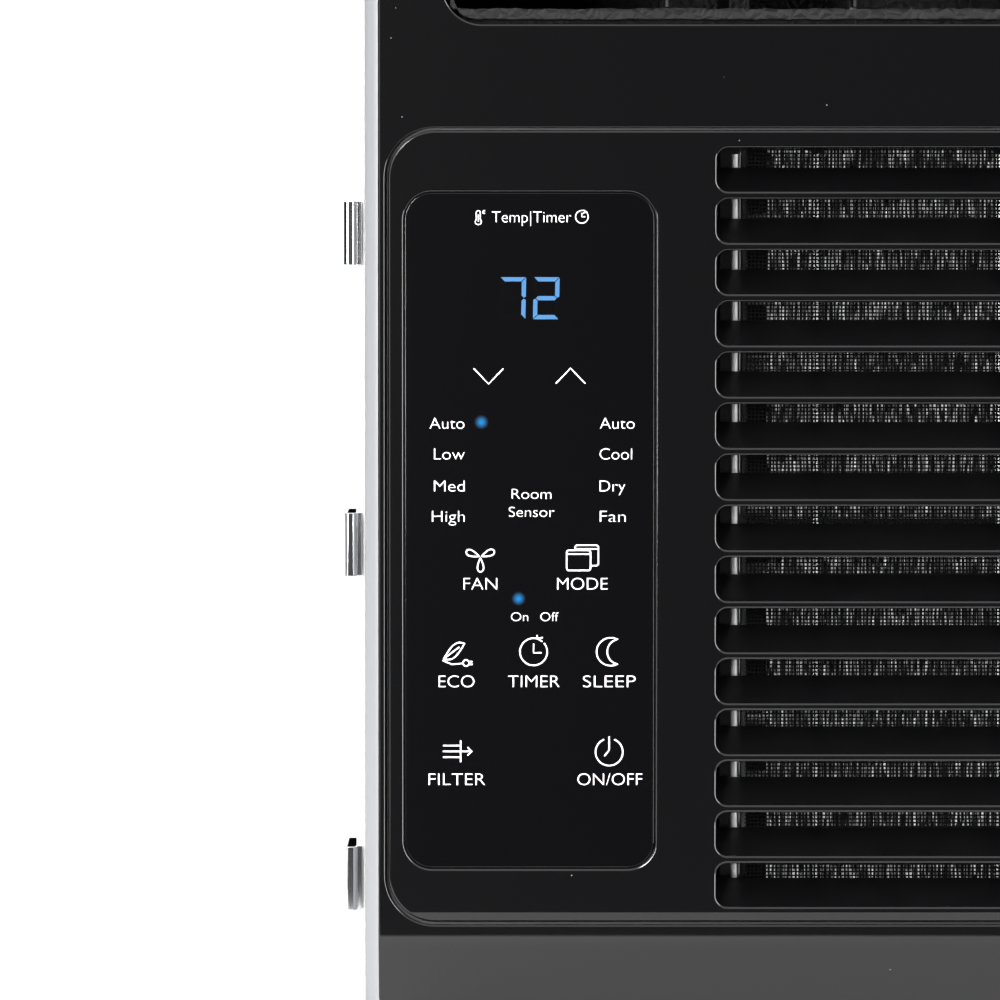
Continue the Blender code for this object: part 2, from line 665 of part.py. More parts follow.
def intake_panel():
    """Snap-in panel: a touch-panel pocket at the left and a grille of sloping blades."""
    plate = prism(rounded(-PANEL_X, PANEL_X, PANEL_LOW, PANEL_HIGH, PANEL_CORNER, 6),
                  "Y", FRONT_Y, PANEL_BACK_Y)
    slots = [prism(rounded(SLOT_X0, SLOT_X1, top - SLOT_HEIGHT, top, SLOT_CORNER, 2),
                   "Y", FRONT_Y - 0.001, PANEL_BACK_Y + 0.001) for top in slot_tops()]
    pocket_back = FRONT_Y + OVERLAY_SUNK + OVERLAY_WALL + SEAT
    pocket = prism(rounded(OVERLAY_X0, OVERLAY_X1, OVERLAY_LOW, OVERLAY_HIGH, OVERLAY_CORNER, 4),
                   "Y", FRONT_Y - 0.001, pocket_back)
    window = box(OVERLAY_MID_X - DISPLAY_WIDTH / 2, OVERLAY_MID_X + DISPLAY_WIDTH / 2,
                 pocket_back - 0.0005, PANEL_BACK_Y + OVER,
                 DISPLAY_Z - DISPLAY_HEIGHT / 2, DISPLAY_Z + DISPLAY_HEIGHT / 2)
    plate = cut(cut(plate, slots + [pocket]), [window])
    blade_back = FRONT_Y + BLADE_DEPTH
    blade_x0, blade_x1 = SLOT_X0 - 0.0012, SLOT_X1 + 0.0012
    blades = []
    for top in slot_tops():
        low = top - SLOT_HEIGHT - SLOT_BAR / 2
        outline = [(FRONT_Y + 0.0012, low - BLADE_WALL / 2), (blade_back, low + BLADE_RISE),
                   (blade_back, low + BLADE_RISE + BLADE_WALL), (FRONT_Y + 0.0012, low + BLADE_WALL / 2)]
        blades.append(prism(outline, "X", blade_x0, blade_x1))
    wall_low = SLOT_TOP - (SLOT_COUNT - 1) * SLOT_PITCH - SLOT_HEIGHT - SLOT_BAR / 2
    walls = [box(x, x + 0.0018, PANEL_BACK_Y - OVER, blade_back - SEAT_GAP, wall_low, SLOT_TOP + OVER)
             for x in (SLOT_X0 - 0.0022, SLOT_X1 + SEAT_GAP)]
    return piece("intake_panel", union([plate] + walls + blades), "black_gloss")


def control_overlay():
    """Printed touch panel, slightly sunk in the intake panel."""
    fit = GAP
    outline = rounded(OVERLAY_X0 + fit, OVERLAY_X1 - fit, OVERLAY_LOW + fit, OVERLAY_HIGH - fit,
                      OVERLAY_CORNER - fit, 5)
    y = FRONT_Y + OVERLAY_SUNK
    return piece("control_overlay", prism(outline, "Y", y, y + OVERLAY_WALL), "overlay_black")


def control_housing():
    """Tray behind the touch panel that holds its board."""
    x0, x1 = OVERLAY_X0 + 0.004, OVERLAY_X1 + 0.004
    z0, z1 = OVERLAY_LOW + OVER, OVERLAY_HIGH
    y0 = LEDGE_Y + LEDGE_WALL + SEAT
    y1 = y0 + HOUSING_DEPTH
    wall = HOUSING_WALL
    shell = cut(box(x0, x1, y0, y1, z0, z1),
                [box(x0 + wall, x1 - wall, y0 - PAST, y1 - wall, z0 + wall, z1 - wall)])
    piece("control_housing", shell, "black_satin")
    board_y = PANEL_BACK_Y + GAP + DISPLAY_DEPTH + GAP
    board = box(x0 + wall + SEAT, x1 - wall - SEAT, board_y, board_y + BOARD_WALL,
                z0 + wall + SEAT, z1 - wall - SEAT)
    piece("display_board", board, "board_green")
    half_x, half_z = DISPLAY_WIDTH / 2 - 0.0005, DISPLAY_HEIGHT / 2 - 0.0005
    block = box(OVERLAY_MID_X - half_x, OVERLAY_MID_X + half_x, PANEL_BACK_Y - 0.0006,
                board_y - GAP, DISPLAY_Z - half_z, DISPLAY_Z + half_z)
    return piece("display_module", block, "display_grey")


def air_filter():
    """Ribbed frame with a grip outside the front's right side, and its mesh."""
    y0, y1 = FILTER_Y, FILTER_Y + FILTER_WALL
    frame = box(FILTER_X0, FILTER_X1, y0, y1, FILTER_LOW, FILTER_HIGH)
    edges = [FILTER_X0 + FILTER_BAR]
    rib = FILTER_X0 + FILTER_FIRST_RIB
    while rib < FILTER_X1 - FILTER_BAR - FILTER_RIB:
        edges += [rib - FILTER_RIB / 2, rib + FILTER_RIB / 2]
        rib += FILTER_RIB_PITCH
    edges.append(FILTER_X1 - FILTER_BAR)
    middle = (FILTER_LOW + FILTER_HIGH) / 2
    rows = [(FILTER_LOW + FILTER_BAR, middle - FILTER_RIB / 2),
            (middle + FILTER_RIB / 2, FILTER_HIGH - FILTER_BAR)]
    windows = [box(x0, x1, y0 - OVER, y1 + OVER, z0, z1)
               for x0, x1 in zip(edges[::2], edges[1::2]) for z0, z1 in rows]
    tab_x = HALF_WIDTH + SEAT
    neck = box(FILTER_X1 - OVER, tab_x + OVER, y0 + SKIM, y1 - SKIM,
               middle - TAB_LENGTH / 3, middle + TAB_LENGTH / 3)
    centre = (y0 + y1) / 2
    tab = prism(rounded(centre - TAB_WIDTH / 2, centre + TAB_WIDTH / 2, middle - TAB_LENGTH / 2,
                        middle + TAB_LENGTH / 2, 0.003, 3), "X", tab_x, tab_x + TAB_WALL)
    piece("filter_frame", union([cut(frame, windows), neck, tab]), "black_satin",
          (FILTER_X0, centre, middle))
    mesh = box(FILTER_X0 + 0.0035, FILTER_X1 - 0.003, y0 - GAP - MESH_WALL, y0 - GAP,
               FILTER_LOW + 0.0035, FILTER_HIGH - 0.0035)
    return piece("filter_mesh", mesh, "filter_mesh", (FILTER_X0, centre, middle))


# ---------------------------------------------------------------- outlet
def louvre_heights():
    middle = (DUCT_Z0 + DUCT_Z1) / 2
    return [middle + (i - (LOUVRE_COUNT - 1) / 2) * LOUVRE_PITCH for i in range(LOUVRE_COUNT)]


def vane_places(side):
    return [side * (VANE_FIRST + i * VANE_PITCH) for i in range(VANE_COUNT)]


def outlet_duct():
    """Foam duct behind the outlet, with sockets for the louvre and vane pins."""
    wall = DUCT_WALL
    outer_x = OUTLET_X + 0.0075
    tube = cut(box(-outer_x, outer_x, DUCT_Y0, DUCT_Y1, DUCT_Z0 - wall, OUTLET_Z1 + 0.006),
               [box(-DUCT_X, DUCT_X, DUCT_Y0 - PAST, DUCT_Y1 + PAST, DUCT_Z0, DUCT_Z1)])
    socket = PIN_RADIUS + PIN_FIT
    reach = 0.006
    sockets = []
    for z in louvre_heights():
        sockets.append(rod("X", LOUVRE_Y, z, socket, -DUCT_X - reach, -DUCT_X + OVER))
        sockets.append(rod("X", LOUVRE_Y, z, socket, DUCT_X - OVER, DUCT_X + reach))
    for x in vane_places(-1) + vane_places(1):
        sockets.append(rod("Z", x, VANE_Y, socket, DUCT_Z0 - reach, DUCT_Z0 + OVER))
        sockets.append(rod("Z", x, VANE_Y, socket, DUCT_Z1 - OVER, DUCT_Z1 + reach))
    return piece("outlet_duct", cut(tube, sockets), "duct_foam")


def leaf(chord, wall):
    """Thin lens-shaped section of a louvre or vane."""
    edge, full = wall / 4, wall / 2
    return [(-chord / 2, -edge), (-chord / 4, -full), (chord / 4, -full), (chord / 2, -edge),
            (chord / 2, edge), (chord / 4, full), (-chord / 4, full), (-chord / 2, edge)]


def louvres():
    """Horizontal louvres on end pins, and the link bar that keeps them parallel."""
    names = ["louvre_lower", "louvre_middle", "louvre_upper"]
    link_x = -DUCT_X + 0.007
    for name, z in zip(names, louvre_heights()):
        half = DUCT_X - END_GAP
        outline = [(LOUVRE_Y + y, z + t) for y, t in leaf(LOUVRE_CHORD, LOUVRE_WALL)]
        blade = prism(outline, "X", -half, half)
        notch = box(link_x - 0.004, link_x + 0.004, LOUVRE_Y + LINK_ARM - LINK_WIDTH / 2 - 0.0019,
                    LOUVRE_Y + LOUVRE_CHORD, z - PAST, z + PAST)
        pins = [rod("X", LOUVRE_Y, z, PIN_RADIUS, -DUCT_X - 0.005, -half + 0.002),
                rod("X", LOUVRE_Y, z, PIN_RADIUS, half - 0.002, DUCT_X + 0.005),
                rod("X", LOUVRE_Y + LINK_ARM, z, LINK_PIN, link_x - 0.0045, link_x + 0.0045, 8)]
        piece(name, union([cut(blade, [notch])] + pins), "black_satin", (0.0, LOUVRE_Y, z))
    heights = louvre_heights()
    y = LOUVRE_Y + LINK_ARM
    outline = arc(y, heights[-1], LINK_WIDTH / 2, 0, 180, 6)
    outline += arc(y, heights[0], LINK_WIDTH / 2, 180, 360, 6)
    bar = prism(outline, "X", link_x - LINK_WALL / 2, link_x + LINK_WALL / 2)
    holes = [rod("X", y, z, LINK_PIN + LINK_FIT, link_x - PAST, link_x + PAST) for z in heights]
    middle = heights[LOUVRE_COUNT // 2]
    return piece("louvre_link", cut(bar, holes), "black_satin", (link_x, y, middle))


def vanes(side_name, side):
    """A group of upright vanes behind the louvres, and the bar that links them."""
    middle = (DUCT_Z0 + DUCT_Z1) / 2
    low, high = DUCT_Z0 + END_GAP, DUCT_Z1 - END_GAP
    y = VANE_Y + VANE_ARM
    for i, x in enumerate(vane_places(side)):
        outline = [(x + t, VANE_Y + c) for c, t in leaf(VANE_CHORD, VANE_WALL)]
        blade = prism(outline, "Z", low, high)
        notch = box(x - PAST, x + PAST, y - LINK_WIDTH / 2 - 0.0020, VANE_Y + VANE_CHORD,
                    middle - 0.0035, middle + 0.0035)
        pins = [rod("Z", x, VANE_Y, PIN_RADIUS, DUCT_Z0 - 0.005, low + 0.002),
                rod("Z", x, VANE_Y, PIN_RADIUS, high - 0.002, DUCT_Z1 + 0.005),
                rod("Z", x, y, LINK_PIN, middle - 0.0045, middle + 0.0045, 8)]
        piece(f"vane_{side_name}_{i + 1}", union([cut(blade, [notch])] + pins), "black_satin",
              (x, VANE_Y, middle))
    places = sorted(vane_places(side))
    outline = arc(places[-1], y, LINK_WIDTH / 2, -90, 90, 6)
    outline += arc(places[0], y, LINK_WIDTH / 2, 90, 270, 6)
    bar = prism(outline, "Z", middle - LINK_WALL / 2, middle + LINK_WALL / 2)
    holes = [rod("Z", x, y, LINK_PIN + LINK_FIT, middle - PAST, middle + PAST) for x in places]
    return piece(f"vane_link_{side_name}", cut(bar, holes), "black_satin", (places[1], y, middle))


# ---------------------------------------------------------------- fan train
def fan_motor():
    """Double-shaft motor with end bells, its bore clear of the shaft."""
    bore = AXLE_RADIUS + SEAT_GAP
    radius = MOTOR_RADIUS
    y0, y1 = MOTOR_Y0, MOTOR_Y1
    profile = [(bore, y0 - 0.006), (MOTOR_BOSS, y0 - 0.006), (MOTOR_BOSS, y0),
               (radius - 0.006, y0), (radius, y0 + 0.006), (radius, y1 - 0.006),
               (radius - 0.006, y1), (MOTOR_BOSS, y1), (MOTOR_BOSS, y1 + 0.006), (bore, y1 + 0.006)]
    piece("fan_motor", turned(profile, "Y", AXLE_X, AXLE_Z, 24), "galvanised")
    shaft = rod("Y", AXLE_X, AXLE_Z, AXLE_RADIUS, WHEEL_Y1 - 0.024, FAN_Y + FAN_DEPTH / 2 + 0.006)
    return piece("motor_shaft", shaft, "bright_steel", (AXLE_X, FAN_Y, AXLE_Z))


def motor_bracket():
    """Cradle on the base pan: two shaped uprights on a foot plate."""
    z0 = PAN_WALL + SEAT
    half = MOTOR_RADIUS * 0.8
    top = AXLE_Z - MOTOR_RADIUS * 0.45
    y0, y1 = MOTOR_Y0 + 0.012, MOTOR_Y1 - 0.012
    foot = box(AXLE_X - half, AXLE_X + half, y0, y1, z0, z0 + BRACKET_WALL)
    uprights = [box(AXLE_X - half, AXLE_X + half, y, y + BRACKET_WALL, z0 + 0.0005, top)
                for y in (y0 + GAP, y1 - BRACKET_WALL - GAP)]
    seat = rod("Y", AXLE_X, AXLE_Z, MOTOR_RADIUS + SEAT, y0 - PAST, y1 + PAST, 24)
    return piece("motor_bracket", cut(union([foot] + uprights), [seat]), "galvanised")


def blower_wheel():
    """Squirrel-cage wheel: curved blades between a front ring and a rear disc."""
    steps = 2 * WHEEL_BLADES
    inner, outer = WHEEL_INNER, WHEEL_RADIUS
    cage = turned([(inner, WHEEL_Y0), (outer, WHEEL_Y0), (outer, WHEEL_Y1), (inner, WHEEL_Y1)],
                  "Y", AXLE_X, AXLE_Z, steps)
    turn = 2 * math.pi / WHEEL_BLADES
    width = turn * 0.78
    windows = []
    for i in range(WHEEL_BLADES):
        outline = []
        for radius, shift in ((inner - 0.003, 0.0), (outer + 0.003, turn * 0.9)):
            edge = [i * turn + shift, i * turn + shift + width]
            if radius > inner:
                edge.reverse()
            outline += [(AXLE_X + radius * math.cos(a), AXLE_Z + radius * math.sin(a)) for a in edge]
        windows.append(prism(outline, "Y", WHEEL_Y0 + WHEEL_WALL, WHEEL_Y1 - WHEEL_WALL))
    bore = AXLE_RADIUS + SEAT_GAP
    disc = turned([(bore, WHEEL_Y1 - 0.0035), (inner + 0.004, WHEEL_Y1 - 0.0035),
                   (inner + 0.004, WHEEL_Y1 - OVER), (0.014, WHEEL_Y1 - OVER),
                   (0.014, WHEEL_Y1 + 0.003), (bore, WHEEL_Y1 + 0.003)], "Y", AXLE_X, AXLE_Z, 28)
    return piece("blower_wheel", union([cut(cage, windows), disc]), "black_satin",
                 (AXLE_X, WHEEL_Y1, AXLE_Z))


def fan_blade(start_angle):
    """One swept, pitched blade from inside the hub to inside the ring."""
    spans, chords = 4, 4
    sweep = math.radians(46)
    faces = []
    vertices = []
    for face_offset in (-RUN_GAP, RUN_GAP):
        for i in range(spans + 1):
            radius = FAN_HUB - 0.003 + (FAN_RADIUS - FAN_RING / 2 - FAN_HUB + 0.003) * i / spans
            for j in range(chords + 1):
                s = j / chords - 0.5
                angle = start_angle + s * sweep + 0.25 * i / spans
                y = FAN_Y + s * FAN_DEPTH * 0.72 + face_offset
                vertices.append((AXLE_X + radius * math.cos(angle), y,
                                 AXLE_Z + radius * math.sin(angle)))
    row = chords + 1
    sheet = (spans + 1) * row
    for i in range(spans):
        for j in range(chords):
            a = i * row + j
            faces.append([a, a + 1, a + row + 1, a + row])
            faces.append([sheet + a, sheet + a + 1, sheet + a + row + 1, sheet + a + row])
    rim = [j for j in range(row)]
    rim += [i * row + chords for i in range(1, spans + 1)]
    rim += [spans * row + j for j in range(chords - 1, -1, -1)]
    rim += [i * row for i in range(spans - 1, 0, -1)]
    for a, b in zip(rim, rim[1:] + rim[:1]):
        faces.append([a, b, sheet + b, sheet + a])
    return mesh_of(vertices, faces)


def condenser_fan():
    """Axial fan with a slinger ring that flings condensate onto the condenser."""
    half = FAN_DEPTH / 2
    bore = AXLE_RADIUS + SEAT_GAP
    hub = turned([(bore, FAN_Y - half), (FAN_HUB, FAN_Y - half), (FAN_HUB, FAN_Y + half),
                  (bore, FAN_Y + half)], "Y", AXLE_X, AXLE_Z, 20)
    ring = turned([(FAN_RADIUS - FAN_RING, FAN_Y - half), (FAN_RADIUS, FAN_Y - half),
                   (FAN_RADIUS, FAN_Y + half), (FAN_RADIUS - FAN_RING, FAN_Y + half)],
                  "Y", AXLE_X, AXLE_Z, 40)
    blades = [fan_blade(2 * math.pi * i / FAN_BLADES) for i in range(FAN_BLADES)]
    return piece("condenser_fan", union([hub] + blades + [ring]), "fan_white",
                 (AXLE_X, FAN_Y, AXLE_Z))


# ---------------------------------------------------------------- air path and coils
def scroll_housing():
    """Moulded foam round the blower: inlet in front, outlet up to the duct."""
    wall = SCROLL_WALL
    block = box(SCROLL_X0, SCROLL_X1, SCROLL_Y0, SCROLL_Y1, SCROLL_Z0, SCROLL_Z1)
    y0, y1 = SCROLL_Y0 + wall, SCROLL_Y1 - wall
    chamber = rod("Y", AXLE_X, AXLE_Z, SCROLL_RADIUS, y0, y1, 32)
    throat = box(AXLE_X - SCROLL_RADIUS * 0.99, SCROLL_X1 - wall, y0 + SKIM, y1 - SKIM,
                 AXLE_Z, DUCT_Z1)
    mouth = box(SCROLL_X0 + wall, SCROLL_X1 - wall, SCROLL_Y0 - PAST, y1 - SEAT_GAP,
                DUCT_Z0 + GAP, DUCT_Z1 - GAP)
    inlet = rod("Y", AXLE_X, AXLE_Z, WHEEL_INNER + 0.004, SCROLL_Y0 - PAST, y0 + PAST, 32)
    shaft_hole = rod("Y", AXLE_X, AXLE_Z, 0.012, y1 - PAST, SCROLL_Y1 + PAST)
    air = union([chamber, throat, mouth, inlet, shaft_hole])
    return piece("scroll_housing", combined(block, air, "DIFFERENCE"), "white_foam")


def fin_pack(x0, x1, y0, y1, z0, z1):
    """A coil's fins as one block, grooved front and back."""
    count = round((x1 - x0) / FIN_PITCH)
    pitch = (x1 - x0) / count
    front, back = [], []
    for i in range(count):
        left = x0 + i * pitch
        notch = (left + pitch * 0.3, left + pitch * 0.7)
        if i in (0, count - 1):
            continue
        front += [(notch[0], y0), (notch[0], y0 + FIN_GROOVE), (notch[1], y0 + FIN_GROOVE),
                  (notch[1], y0)]
        back += [(notch[0], y1), (notch[0], y1 - FIN_GROOVE), (notch[1], y1 - FIN_GROOVE),
                 (notch[1], y1)]
    outline = [(x0, y0)] + front + [(x1, y0), (x1, y1)] + back[::-1] + [(x0, y1)]
    return prism(outline, "Z", z0, z1)


def return_bend(x, side, y, z0, z1):
    """A tube that leaves the end plate, turns over and goes back in."""
    radius = (z1 - z0) / 2
    middle = (z0 + z1) / 2
    steps, sides = 5, 6
    vertices = []
    centres = [(x - side * 0.0007, z0, -90)]
    centres += [(x + side * radius * math.cos(math.radians(a)),
                 middle + radius * math.sin(math.radians(a)), a)
                for a in [-90 + 180 * i / steps for i in range(steps + 1)]]
    centres.append((x - side * 0.0007, z1, 90))
    for px, pz, a in centres:
        out = (side * math.cos(math.radians(a)), math.sin(math.radians(a)))
        for k in range(sides):
            b = 2 * math.pi * (k + 0.5) / sides
            vertices.append((px + TUBE_RADIUS * math.cos(b) * out[0], y + TUBE_RADIUS * math.sin(b),
                             pz + TUBE_RADIUS * math.cos(b) * out[1]))
    faces = [list(range(sides)), [len(vertices) - sides + k for k in range(sides)]]
    for i in range(len(centres) - 1):
        for k in range(sides):
            m = (k + 1) % sides
            faces.append([i * sides + k, i * sides + m, (i + 1) * sides + m, (i + 1) * sides + k])
    return mesh_of(vertices, faces)


def coil(name, x0, x1, y0, y1, z0, z1):
    """Fins between two end plates, with return bends outside each plate."""
    gap = GAP
    piece(f"{name}_fins", fin_pack(x0, x1, y0, y1, z0, z1), "aluminium")
    step = 2 * BEND_RADIUS
    count = int((z1 - z0 - 0.03) // (2 * step))
    middle = (y0 + y1) / 2
    for side_name, side, edge in (("left", -1, x0), ("right", 1, x1)):
        inner = edge + side * gap
        face = inner + side * COIL_PLATE
        low, high = sorted((inner, face))
        plate = box(low, high, y0 - OVER, y1 + OVER, z0 - OVER, z1)
        bends = []
        for i in range(count):
            start = z0 + 0.010 + 2 * step * i + (step if side > 0 else 0)
            bends.append(return_bend(face, side, middle, start, start + step))
        piece(f"{name}_plate_{side_name}", union([plate] + bends), "copper")


def drain_tray():
    """Tray under the evaporator that catches its condensate."""
    x0, x1 = SCROLL_X0 - 0.016, HALF_WIDTH - 0.008
    y0, y1 = COIL_Y0 - 0.004, COIL_Y1 + 0.006
    z0, z1 = 0.0065, COIL_LOW - 0.0016
    tray = cut(box(x0, x1, y0, y1, z0, z1),
               [box(x0 + 0.002, x1 - 0.002, y0 + 0.002, y1 - 0.002, z0 + 0.002, z1 + PAST)])
    return piece("drain_tray", tray, "black_satin")


def condenser_shroud():
    """Box between the fan and the condenser, with a round collar for the fan."""
    wall = SHROUD_WALL
    low = PAN_WALL + 0.0018
    shell = cut(box(-SHROUD_X, SHROUD_X, SHROUD_Y0, SHROUD_Y1, low, SHROUD_TOP),
                [box(-SHROUD_X + wall, SHROUD_X - wall, SHROUD_Y0 + wall, SHROUD_Y1 + PAST,
                     low + wall, SHROUD_TOP - wall)])
    bore = FAN_RADIUS + SHROUD_COLLAR
    collar = turned([(bore, SHROUD_Y0 - COLLAR_DEPTH), (bore + wall, SHROUD_Y0 - COLLAR_DEPTH),
                     (bore + wall, SHROUD_Y0 + wall / 2), (bore, SHROUD_Y0 + wall / 2)],
                    "Y", AXLE_X, AXLE_Z, 40)
    hole = rod("Y", AXLE_X, AXLE_Z, bore + wall / 2, SHROUD_Y0 - PAST, SHROUD_Y0 + PAST, 40)
    pass_hole = rod("Y", DRIER_X, DRIER_Z, 0.006, SHROUD_Y0 - PAST, SHROUD_Y0 + PAST)
    return piece("condenser_shroud", union([cut(shell, [hole, pass_hole]), collar]), "black_satin")


# ---------------------------------------------------------------- sealed system
def compressor():
    """Rotary compressor on a three-cornered foot."""
    radius = COMPRESSOR_RADIUS
    z0, z1 = COMPRESSOR_Z0, COMPRESSOR_Z1
    profile = [(0, z0), (radius * 0.5, z0), (radius * 0.86, z0 + 0.006), (radius, z0 + 0.018),
               (radius, z1 - 0.026), (radius * 0.86, z1 - 0.010), (radius * 0.5, z1 - 0.002),
               (0, z1)]
    shell = turned(profile, "Z", COMPRESSOR_X, COMPRESSOR_Y, 24)
    outline = []
    for i, (x, y) in enumerate(stud_places()):
        outline += arc(x, y, 0.0125, 30 + 120 * i, 150 + 120 * i, 4)
    foot = prism(outline, "Z", FOOT_Z, FOOT_Z + 0.0045)
    holes = [rod("Z", x, y, STUD_RADIUS + 0.0006, FOOT_Z - PAST, FOOT_Z + 0.012)
             for x, y in stud_places()]
    stub = rod("Z", COMPRESSOR_X + 0.020, COMPRESSOR_Y + 0.020, PIPE_RADIUS, z1 - 0.02, z1 + 0.006)
    piece("compressor", union([shell, cut(foot, holes), stub]), "black_enamel")
    for i, (x, y) in enumerate(stud_places()):
        z_low, z_high = PAN_WALL + GAP, FOOT_Z - GAP
        bore = STUD_RADIUS + 0.0006
        waist = GROMMET_RADIUS - 0.0015
        middle = (z_low + z_high) / 2
        grommet = turned([(bore, z_low), (GROMMET_RADIUS, z_low), (waist, middle),
                          (GROMMET_RADIUS, z_high), (bore, z_high)], "Z", x, y, 16)
        piece(f"compressor_grommet_{i + 1}", grommet, "rubber")


def accumulator_place():
    return COMPRESSOR_X + COMPRESSOR_RADIUS + ACCUMULATOR_RADIUS + 0.007, COMPRESSOR_Y


def accumulator():
    """Suction accumulator strapped beside the compressor."""
    x, y = accumulator_place()
    radius = ACCUMULATOR_RADIUS
    z1 = COMPRESSOR_Z0 + 0.150
    z0 = z1 - ACCUMULATOR_HEIGHT
    profile = [(0, z0), (radius * 0.6, z0 + OVER), (radius, z0 + 0.012), (radius, z1 - 0.012),
               (radius * 0.6, z1 - OVER), (0, z1)]
    body = turned(profile, "Z", x, y, 16)
    edge = COMPRESSOR_X + COMPRESSOR_RADIUS + SEAT_GAP
    strap = box(edge, x - radius / 2, y - 0.008, y + 0.008, z0 + 0.05, z0 + 0.06)
    elbow = box(edge, x, y - 0.004, y + 0.004, z0 + 0.006, z0 + 0.014)
    stub = rod("Z", x, y, PIPE_RADIUS, z1 - 0.006, z1 + 0.006)
    piece("accumulator", union([body, strap, elbow, stub]), "black_enamel")
    return z1 + 0.006


def pipework(accumulator_top):
    """Suction and discharge pipes, drier and capillary."""
    x, y = accumulator_place()
    coil_y = (COIL_Y0 + COIL_Y1) / 2
    lane, high = PIPE_LANE_X, COIL_TOP - 0.007
    plate = SCROLL_X0 + 0.004 - GAP - COIL_PLATE
    bend = 0.012
    suction = [(plate - GAP, coil_y, high), (plate - 0.004, coil_y, high),
               (lane + bend, coil_y, high),
               (lane, coil_y + bend, high), (lane, BULKHEAD_Y - 0.02, high),
               (lane, BULKHEAD_Y + 0.02, high), (lane + bend, BULKHEAD_Y + 0.035, high),
               (x - bend, y - 0.02, high - 0.004), (x, y, high - 0.03), (x, y, high - 0.06),
               (x, y, accumulator_top + SEAT_GAP)]
    pipe("suction_pipe", smooth_route(suction, 0.011), PIPE_RADIUS, "copper")
    cx, cy = COMPRESSOR_X + 0.020, COMPRESSOR_Y + 0.020
    top = INNER_TOP - 0.010
    condenser_y = (CONDENSER_Y0 + CONDENSER_Y1) / 2
    face = -CONDENSER_X - GAP - COIL_PLATE
    out = face - 0.009
    discharge = [(cx, cy, COMPRESSOR_Z1 + 0.0064), (cx, cy, COMPRESSOR_Z1 + 0.05),
                 (cx, cy, top - 0.02), (cx, cy + 0.014, top), (cx, SHROUD_Y1 - 0.02, top),
                 (cx - 0.02, condenser_y - 0.006, top), (out + 0.014, condenser_y, top),
                 (out, condenser_y, top - 0.014), (face - 0.006, condenser_y, CONDENSER_TOP - 0.016),
                 (face - 0.002, condenser_y, CONDENSER_TOP - 0.016),
                 (face - GAP, condenser_y, CONDENSER_TOP - 0.016)]
    pipe("discharge_pipe", smooth_route(discharge, 0.010), PIPE_RADIUS, "copper")
    y1 = SHROUD_Y0 - 0.012
    y0 = y1 - DRIER_LENGTH
    profile = [(0, y0 - 0.004), (0.002, y0 - 0.004), (DRIER_RADIUS, y0 + 0.006),
               (DRIER_RADIUS, y1 - 0.006), (PIPE_RADIUS, y1), (PIPE_RADIUS, CONDENSER_Y0 - OVER),
               (0, CONDENSER_Y0 - OVER)]
    piece("filter_drier", turned(profile, "Y", DRIER_X, DRIER_Z, 12), "copper")
    lane = -PAN_X + 0.013
    turn_radius = 0.011
    turns, per_turn = 3, 9
    samples = [Vector((DRIER_X, y0 - 0.0043, DRIER_Z)), Vector((DRIER_X, y0 - 0.008, DRIER_Z)),
               Vector((DRIER_X, y0 - 0.011, DRIER_Z + 0.002))]
    centre_y = y0 - 0.012
    centre_z = DRIER_Z + 0.006 + turn_radius
    for i in range(turns * per_turn + 1):
        a = -math.pi / 2 - 2 * math.pi * i / per_turn
        samples.append(Vector((DRIER_X + 0.0045 * i / per_turn - 0.003,
                               centre_y + turn_radius * math.cos(a),
                               centre_z + turn_radius * math.sin(a))))
    last = samples[-1]
    low_end = COIL_LOW + 0.002
    route = [last, (lane + 0.004, last.y - 0.012, last.z - 0.002),
             (lane, last.y - 0.03, CAPILLARY_Z), (lane, BULKHEAD_Y + 0.02, CAPILLARY_Z),
             (lane, BULKHEAD_Y - 0.02, CAPILLARY_Z), (lane + 0.004, BULKHEAD_Y - 0.04, CAPILLARY_Z),
             (PIPE_LANE_X - 0.012, coil_y + 0.040, CAPILLARY_Z - 0.004),
             (PIPE_LANE_X - 0.003, coil_y + 0.016, CAPILLARY_Z - 0.008),
             (PIPE_LANE_X, coil_y + 0.005, low_end + 0.005),
             (PIPE_LANE_X + 0.006, coil_y, low_end), (plate - 0.004, coil_y, low_end),
             (plate - GAP, coil_y, low_end)]
    samples = samples[:-1] + smooth_route(route, 0.016)
    return pipe("capillary_tube", samples, CAPILLARY_RADIUS, "copper", 1)


# ---------------------------------------------------------------- electrics and side fittings
def electrical_box():
    """Open-topped box with the main board and the run capacitor."""
    wall = BOX_WALL
    shell = cut(box(BOX_X0, BOX_X1, BOX_Y0, BOX_Y1, BOX_LOW, BOX_HIGH),
                [box(BOX_X0 + wall, BOX_X1 - wall, BOX_Y0 + wall, BOX_Y1 - wall,
                     BOX_LOW + wall, BOX_HIGH + PAST)])
    piece("electrical_box", shell, "galvanised")
    x = BOX_X0 + wall + 0.006
    board = box(x, x + BOARD_WALL, BOX_Y0 + 0.015, BOX_Y1 - 0.015, BOX_LOW + wall + SEAT_GAP,
                BOX_HIGH - 0.030)
    piece("main_board", board, "board_green")
    radius = CAPACITOR_RADIUS
    z0 = BOX_LOW + wall + SEAT_GAP
    profile = [(0, z0), (radius, z0), (radius, z0 + CAPACITOR_HEIGHT - 0.003),
               (radius - 0.003, z0 + CAPACITOR_HEIGHT), (0, z0 + CAPACITOR_HEIGHT)]
    can = turned(profile, "Z", BOX_X1 - wall - radius - 0.004, BOX_Y1 - wall - radius - 0.006, 20)
    return piece("run_capacitor", can, "aluminium")


